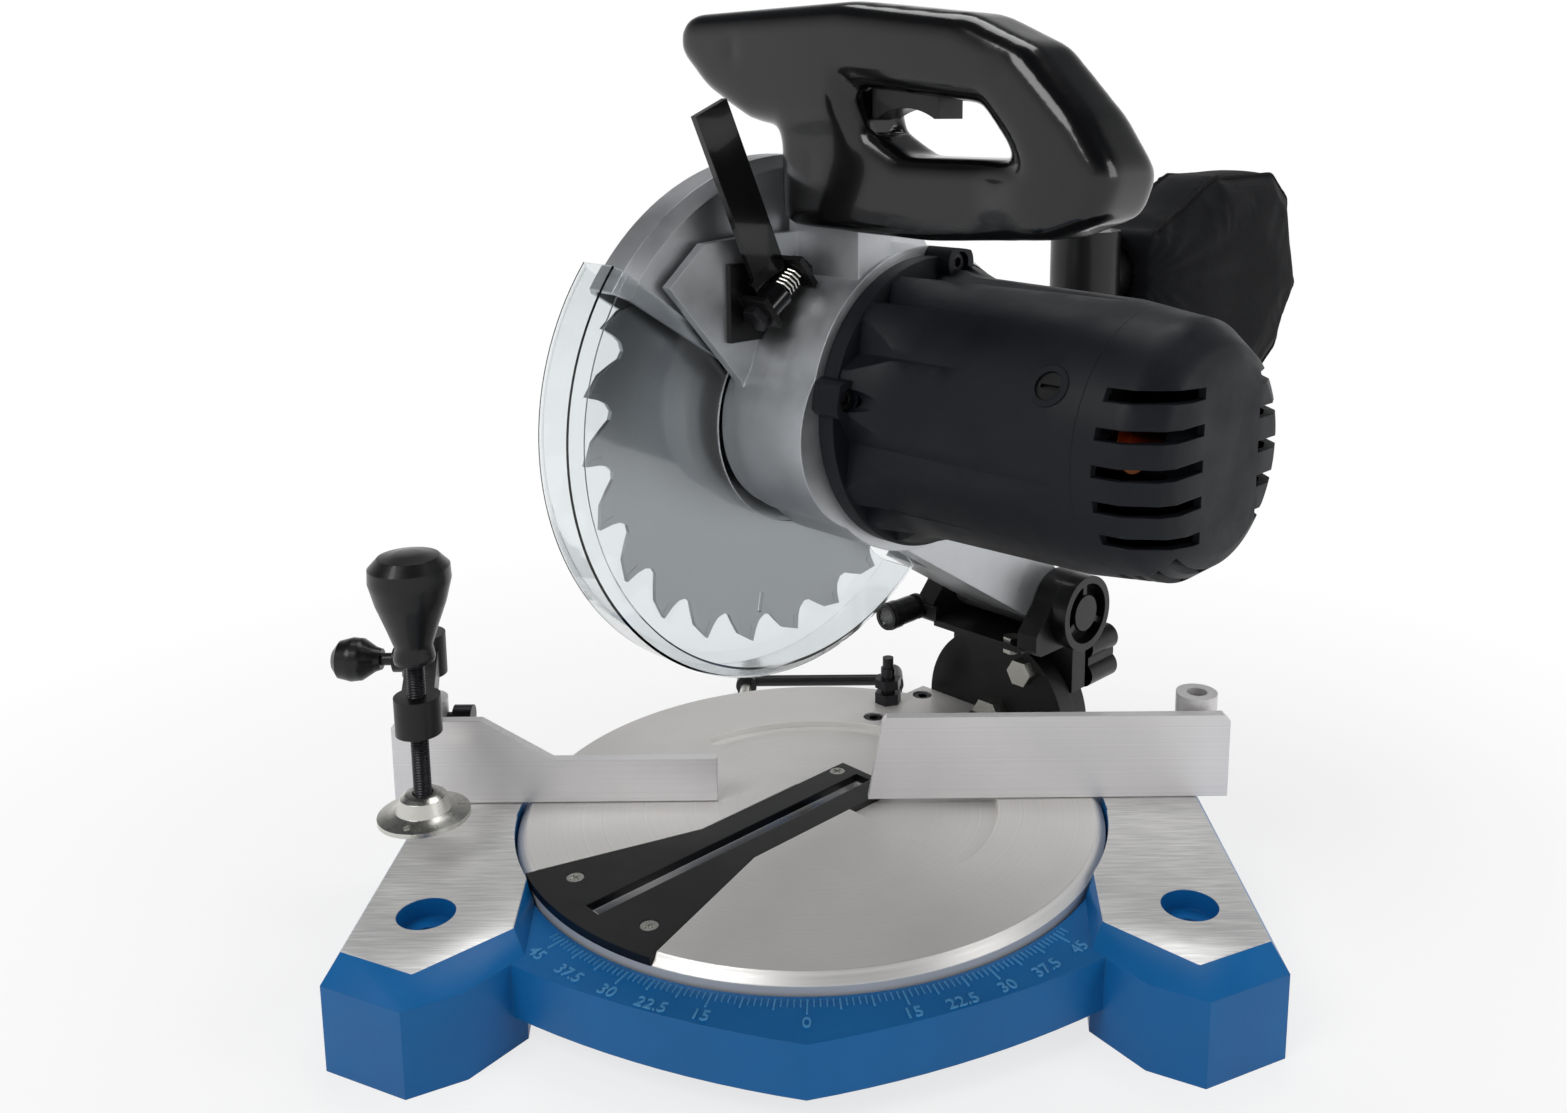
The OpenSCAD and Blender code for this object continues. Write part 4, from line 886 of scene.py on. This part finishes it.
class Head(SubAssembly):
    """The cutting head: case, hood, guard, blade, drive and motor."""

    plan = (
        (BLASTED_CASE, "gear_case", "blade_hood"),
        (MOTOR_NYLON, "motor_housing", "motor_cap"),
        (DARK_STEEL, "motor_screws", "hood_screws", "lever_bolt"),
        (KNOB_NYLON, "brush_caps", "trigger", "dust_port", "lever_bracket"),
        (GLOSSY_ABS, "release_lever"),
        (ZINC_STEEL, "lever_spring", "arbor_bolt", "blade_flanges", "spindle", "motor_bearings",
         "spindle_bearings"),
        (GROUND_BLADE, "saw_blade"),
        (DARK_STEEL, "spindle_gear", "stator"),
        (COPPER_WIRE, "armature"),
        (BRUSH_CARBON, "carbon_brushes"),
        (CLEAR_GUARD, "lower_guard"))


@dataclass
class Handle(SubAssembly):
    """The loop handle: two halves moulded in a polished black plastic, with full, rounded edges."""

    voxel: float = 0.0018
    rounds: int = 26
    plane: float = -0.022
    grip_low: float = 0.330
    grip_blend: float = 0.020
    loop_right: float = 0.150
    loop_blend: float = 0.030
    waist: float = 0.72
    hole_radius: float = 0.0046
    hole_ends: Pair = (-0.040, -0.031)
    hole_columns: int = 24
    holes_mm: tuple[Pair, ...] = ((-4, 350), (136, 342), (170, 300), (38, 304))
    pocket_low: Triple = (0.0650, -0.0300, 0.3160)
    pocket_high: Triple = (0.1010, -0.0140, 0.3505)
    pocket_blend: float = 0.005

    def plugs(self) -> Thing:
        """Close the four screw holes in the front, which the photograph does not show.

        Each plug is a drum across the handle: its radius runs from nought to the hole's and back to nought,
        two rings at the front and two at the back.

        Returns:
            The plugs, to be melted into the handle's skin.
        """
        turn = np.linspace(0, 2 * np.pi, self.hole_columns, endpoint=False)
        radius = self.hole_radius * np.array([0.0, 1.0, 1.0, 0.0])[:, None]
        depth = np.repeat(self.hole_ends, 2)[:, None]
        place = np.array(self.holes_mm)[:, :, None, None] * MM
        sideways = place[:, 0] + radius * np.cos(turn)
        upwards = place[:, 1] + radius * np.sin(turn)
        points = to_row(np.stack(np.broadcast_arrays(sideways, depth, upwards), -1).reshape(-1, 3))
        drum = grid_faces(len(radius), self.hole_columns)
        faces = repeat_faces(drum, len(radius) * self.hole_columns, len(place))
        return add_piece("handle_plugs", points, faces, self.material(GLOSSY_ABS))

    def set_back(self, grip: Thing) -> None:
        """Set the handle's lower front back from the round grip.

        The depth in front of the handle's plane is taken times a share. The share falls with a smooth step
        from one, on the grip and at the loop's right end, to the waist's share between them.

        Args:
            grip: The handle's skin.
        """
        local = from_row(read_points(grip.data))
        ahead = local[:, 1] - self.plane
        low = smooth_step((self.grip_low - local[:, 2]) / self.grip_blend)
        left = smooth_step((self.loop_right - local[:, 0]) / self.loop_blend)
        share = 1 - (1 - self.waist) * low * left
        local[:, 1] = self.plane + np.where(ahead < 0, ahead * share, ahead)
        move_points(grip.data, to_row(local))

    def keep_pocket(self, grip: Thing, plain: np.ndarray) -> None:
        """Keep the trigger's pocket open in the rounded skin.

        In the pocket's box a point stays where it was before the rounding, and over the next few millimetres
        the two places blend. A point that then lies in the box goes out to the nearest wall.

        Args:
            grip: The rounded skin.
            plain: The skin's points before the rounding, in the row frame.
        """
        first, last = from_row(plain), from_row(read_points(grip.data))
        low, high = np.array(self.pocket_low), np.array(self.pocket_high)
        beyond = np.maximum(np.maximum(low - first, first - high), 0.0)
        outside = np.linalg.norm(beyond, axis=1, keepdims=True)
        local = first + np.clip(outside / self.pocket_blend, 0, 1) * (last - first)
        walls = np.array([low[0], high[0], low[1], high[1], high[2]])
        axis = np.array([0, 0, 1, 1, 2])
        depth = (local[:, axis] - walls) * np.array([1, -1, 1, -1, -1])
        within = np.flatnonzero((depth > 0).all(1) & (local[:, 2] > low[2]))
        nearest = depth[within].argmin(1)
        local[within, axis[nearest]] = walls[nearest]
        move_points(grip.data, to_row(local))

    def add_pieces(self) -> None:
        """Melt both halves into one skin, round its edges and keep the screws."""
        halves = [self.frame["nodes"][n] for n in ("handle_front", "handle_rear")]
        plugs = self.plugs()
        grip = merged_copy("handle_moulding", [*halves, plugs], self.material(GLOSSY_ABS))
        bpy.data.objects.remove(plugs)
        remesh(grip, self.voxel)
        plain = read_points(grip.data)
        self.set_back(grip)
        ease = grip.modifiers.new("ease", "SMOOTH")
        ease.factor = 0.5
        ease.iterations = self.rounds
        applied(grip)
        self.keep_pocket(grip, plain)
        shade_smooth(grip.data)
        self.settle(grip, "head", GLOSSY_ABS, "handle_front", "handle_rear")
        self.dress(DARK_STEEL, "handle_screws")


@dataclass
class DustBag(SubAssembly):
    """The sewn dust bag: two woven panels and a gusset, a bound seam on each side, gathers at its neck."""

    middle: float = 0.038
    slim: float = 0.97
    voxel: float = 0.003
    cap: float = 0.003
    pressure: float = 1.6
    steps: int = 20
    neck: Triple = (0.028, 0.1905, 0.2403)
    neck_hold: float = 0.030
    gather: float = 0.0006
    gather_count: int = 19
    gather_reach: float = 0.05
    swirl: float = 1.3
    swirl_rate: float = 40.0
    crease: float = 0.0004
    crease_rates: tuple[Pair, ...] = ((95.0, 60.0), (-25.0, 70.0))
    sink: float = 0.002
    sink_reach: float = 0.12
    seam_half: float = 0.0155
    seam_lean: float = 0.6
    tape_thick: float = 0.0009
    tape_wide: float = 0.0017
    tape_rows: int = 260
    tape_columns: int = 12
    corner_rows: int = 15
    end_rows: float = 3.0
    outline_mm: tuple[Pair, ...] = (
        (209, 66), (274, 96), (338, 96), (356, 82), (370, 30), (350, -6), (306, -40), (284, -40), (250, -18),
        (209, 24))

    def blank(self) -> Thing:
        """Cut the bag a little slimmer than the CAD solid, in an even net of small faces."""
        bag = merged_copy("dust_bag_sewn", [self.frame["nodes"]["dust_bag"]], self.material(BAG_CLOTH))
        local = from_row(read_points(bag.data))
        local[:, 0] = self.middle + (local[:, 0] - self.middle) * self.slim
        move_points(bag.data, to_row(local))
        remesh(bag, self.voxel)
        return bag

    def inflate(self, bag: Thing) -> None:
        """Blow the cloth up with Blender's Cloth, hold its neck, and cap how far a point may go.

        Args:
            bag: The bag's blank, whose mesh takes the new shape.
        """
        start = read_points(bag.data)
        far = np.linalg.norm(from_row(start) - np.array(self.neck), axis=1)
        held = bag.vertex_groups.new(name="neck")
        held.add(np.flatnonzero(far < self.neck_hold).tolist(), 1.0, "REPLACE")
        cloth = bag.modifiers.new("cloth", "CLOTH")
        cloth.settings.quality = 6
        cloth.settings.use_pressure = True
        cloth.settings.uniform_pressure_force = self.pressure
        cloth.settings.effector_weights.gravity = 0.0
        cloth.settings.vertex_group_mass = "neck"
        cloth.point_cache.frame_start, cloth.point_cache.frame_end = 1, self.steps
        for step in range(1, self.steps + 1):
            bpy.context.scene.frame_set(step)
        applied(bag)
        bpy.context.scene.frame_set(1)
        moved = read_points(bag.data) - start
        far = np.linalg.norm(moved, axis=1, keepdims=True)
        move_points(bag.data, start + moved * np.minimum(1.0, self.cap / np.maximum(far, 1e-9)))

    def slacken(self, bag: Thing) -> None:
        """Add one subdivision, the gathers that fan out from the neck, and the slump of a part-filled bag.

        A point goes in and out along its normal by a sine of its angle round the neck, which dies away with
        the distance, and by two slow sines that cross like creases; it sinks by a share that grows with the
        square of its distance from the neck, up to the sink's reach.

        Args:
            bag: The blown-up bag.
        """
        finer = bag.modifiers.new("finer", "SUBSURF")
        finer.levels = finer.render_levels = 1
        applied(bag)
        mesh = bag.data
        placed = read_points(mesh)
        away = from_row(placed) - np.array(self.neck)
        far = np.linalg.norm(away, axis=1)
        angle = np.arctan2(away[:, 2], away[:, 1])
        fan = np.sin(self.gather_count * angle + self.swirl * np.sin(self.swirl_rate * far))
        fan *= np.exp(-(((far - self.gather_reach) / self.gather_reach) ** 2))
        cross = np.sin(away[:, 1:] @ np.array(self.crease_rates).T).prod(1)
        placed += read_array(mesh.vertices, "normal", 3) * (self.gather * fan + self.crease * cross)[:, None]
        placed[:, 2] -= self.sink * np.clip(far / self.sink_reach, 0, 1) ** 2
        move_points(mesh, placed)
        shade_smooth(mesh)

    def map_cloth(self, piece: Thing) -> None:
        """Lay the weave's map on a piece, in metres, by the side that each face looks to.

        Args:
            piece: The bag or its binding.
        """
        mesh = piece.data
        corner = read_array(mesh.loops, "vertex_index", kind=np.int32).ravel()
        count = read_array(mesh.polygons, "loop_total", kind=np.int32).ravel()
        facing = np.abs(read_array(mesh.polygons, "normal", 3) @ TABLE_AXES)
        side = np.repeat(facing.argmax(1), count)
        place = from_row(read_points(mesh))[corner]
        first = np.where(side == 0, place[:, 1], place[:, 0])
        second = np.where(side == 2, place[:, 1], place[:, 2])
        mesh.uv_layers.new(name="cloth").data.foreach_set("uv", np.stack([first, second], -1).ravel())

    def drawn_on(self, bag: Thing, line: np.ndarray) -> np.ndarray:
        """Draw a line of points on to the cloth: each goes to the nearest place of the bag's skin.

        Args:
            bag: The finished bag.
            line: Places in the row frame.

        Returns:
            The same points on the cloth.
        """
        mesh = bpy.data.meshes.new("seam_line")
        mesh.from_pydata(line.tolist(), [], [])
        thread = place_object("seam_line", mesh)
        wrap = thread.modifiers.new("wrap", "SHRINKWRAP")
        wrap.target = bag
        applied(thread)
        points = read_points(thread.data)
        bpy.data.objects.remove(thread)
        return points

    def binding(self, bag: Thing, side: int) -> Thing:
        """Run one seam's binding round the bag: a flat oval profile carried along a panel's edge.

        The path is the bag's outline with rounded corners, drawn on to the cloth. At each point the profile
        stands square to the path and leans towards the side, and its two ends close to a point.

        Args:
            bag: The finished bag.
            side: One for the right-hand panel's seam, minus one for the left-hand one's.

        Returns:
            The binding.
        """
        count, columns, blend = self.tape_rows, self.tape_columns, self.corner_rows
        corners = np.array(self.outline_mm) * MM + SPINDLE[1:]
        step = np.concatenate([[0], np.cumsum(np.linalg.norm(np.diff(corners, axis=0), axis=1))])
        spread = np.linspace(0, step[-1], count)
        path = np.stack([np.interp(spread, step, corners[:, k]) for k in range(2)], -1)
        padded = np.pad(path, ((blend // 2, blend // 2), (0, 0)), mode="edge")
        path = np.stack([np.convolve(padded[:, k], np.ones(blend) / blend, "valid") for k in range(2)], -1)
        line = np.column_stack([np.full(count, self.middle + side * self.seam_half), path])
        on_cloth = from_row(self.drawn_on(bag, to_row(line)))
        along = np.gradient(on_cloth, axis=0)
        along /= np.linalg.norm(along, axis=1, keepdims=True)
        outwards = np.column_stack([np.full(count, self.seam_lean * side), -along[:, 2], along[:, 1]])
        across = np.cross(along, outwards)
        across /= np.linalg.norm(across, axis=1, keepdims=True)
        outwards = np.cross(across, along)
        turn = np.linspace(0, 2 * np.pi, columns, endpoint=False)[None, :, None]
        rows = np.arange(count)
        size = np.minimum(1.0, np.minimum(rows, rows[::-1]) / self.end_rows)[:, None, None]
        ring = (self.tape_thick * np.cos(turn) * across[:, None]
                + self.tape_wide * np.sin(turn) * outwards[:, None])
        points = to_row((on_cloth[:, None] + size * ring).reshape(-1, 3))
        name = f"dust_bag_binding_{'right' if side > 0 else 'left'}"
        return add_piece(name, points, grid_faces(count, columns), self.material(BAG_BINDING))

    def add_pieces(self) -> None:
        """Sew the bag and its bindings."""
        bag = self.blank()
        self.inflate(bag)
        self.slacken(bag)
        self.map_cloth(bag)
        bands = [self.binding(bag, side) for side in (-1, 1)]
        self.settle(bag, "bag", BAG_CLOTH, "dust_bag")
        for band in bands:
            self.map_cloth(band)
            self.settle(band, "bag", BAG_BINDING)


@dataclass
class Studio:
    """A pale floor that fades to white, soft light from above and both sides, and the photograph's view."""

    floor_size: float = 6.0
    floor_colour: str = "#f4f4f3"
    white: str = "#ffffff"
    overhead: str = "#45474a"
    aim: Triple = (0.0, 0.05, 0.15)
    camera_place: Triple = (0.01266, -0.59103, 0.37022)
    tilt_deg: float = 10.5287
    pan_deg: float = -1.1102
    sensor_mm: float = 36.0
    lens_mm: float = 31.918
    lens_shift: Pair = (-0.05208, -0.12)

    def backdrop(self) -> None:
        """Light the room: white at the level of the eye and greyer overhead, dimmer for diffuse light."""
        world = bpy.data.worlds.new("studio")
        world.use_nodes = True
        nodes = Nodes(world.node_tree, world.node_tree.nodes["Background"])
        upward = nodes.add("SeparateXYZ", {0: nodes.add("TexCoord", {}, "Generated")}, "Z")
        nodes.drive({
            "Color": nodes.ramp(upward, (0.12, self.white), (0.6, self.overhead)),
            "Strength": nodes.add("MapRange", {"Value": nodes.sight(), "To Min": 0.8, "To Max": 1.0})})
        bpy.context.scene.world = world

    def floor(self) -> None:
        """Lay the floor: matt, pale, with the object's shadow, and white to the eye away from the object."""
        points = self.floor_size / 2 * np.array([[-1, -1, 0], [1, -1, 0], [1, 1, 0], [-1, 1, 0]])
        material = bpy.data.materials.new("pale_floor")
        material.use_nodes = True
        tree = material.node_tree
        tree.nodes.remove(tree.nodes["Principled BSDF"])
        nodes = Nodes(tree, tree.nodes["Material Output"])
        matt = nodes.add("BsdfDiffuse", {"Color": linear(self.floor_colour)})
        glow = nodes.add("Emission", {"Color": linear(self.white), "Strength": 1.0})
        far = nodes.add("VectorMath", {0: nodes.add("TexCoord", {}, "Object")}, "Value", operation="LENGTH")
        fade = nodes.add("MapRange", {
            "Value": far, "From Min": 0.25, "From Max": 0.6, "To Min": 0.75, "To Max": 1.0})
        share = nodes.maths("MULTIPLY", nodes.sight(), fade)
        nodes.drive({"Surface": nodes.add("MixShader", {0: share, 1: matt, 2: glow})})
        add_piece("studio_floor", points, np.array([[0, 1, 2, 3]]), material)

    def lamp(self, name: str, place: Triple, size: Pair, watts: float) -> None:
        """Hang one soft lamp that looks at the object.

        Args:
            name: The lamp's name.
            place: Where it hangs, in metres.
            size: Its width and height.
            watts: Its power.
        """
        light = bpy.data.lights.new(name, "AREA")
        light.shape = "RECTANGLE"
        light.size, light.size_y = size
        light.energy = watts
        lamp = place_object(name, light)
        aim = np.array(self.aim) - np.array(place)
        lamp.location = place
        tilt = math.atan2(math.hypot(aim[0], aim[1]), -aim[2])
        lamp.rotation_euler = (tilt, 0.0, math.atan2(-aim[0], aim[1]))

    def camera(self) -> None:
        """Set the camera at the photograph's place, lens and framing."""
        lens = bpy.data.cameras.new("photograph_view")
        lens.sensor_fit = "HORIZONTAL"
        lens.sensor_width = self.sensor_mm
        lens.lens = self.lens_mm
        lens.shift_x, lens.shift_y = self.lens_shift
        eye = place_object("photograph_view", lens)
        eye.location = self.camera_place
        eye.rotation_euler = (math.radians(90.0 - self.tilt_deg), 0.0, math.radians(self.pan_deg))
        bpy.context.scene.camera = eye

    def build(self) -> None:
        """Set up the studio."""
        self.backdrop()
        self.floor()
        self.lamp("key_softbox", place=(-0.9, -0.9, 1.4), size=(0.9, 0.7), watts=13.0)
        self.lamp("fill_softbox", place=(1.3, -0.6, 0.9), size=(0.6, 0.9), watts=6.0)
        self.lamp("top_softbox", place=(0.1, 0.5, 1.5), size=(1.2, 0.6), watts=8.0)
        self.camera()


def main() -> None:
    """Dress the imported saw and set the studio."""
    logging.basicConfig(level=logging.INFO, format="%(name)s: %(message)s")
    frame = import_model()
    stock: dict[str, Material] = {}
    bpy.context.scene.view_settings.view_transform = "Standard"
    for kind in (Base, Clamp, Table, Tilt, Head, Handle, DustBag):
        for piece in kind(frame, stock).build():
            LOG.info("%s: %s, %d faces", kind.__name__, piece.name, len(piece.data.polygons))
    Studio().build()


if __name__ == "__main__":
    main()
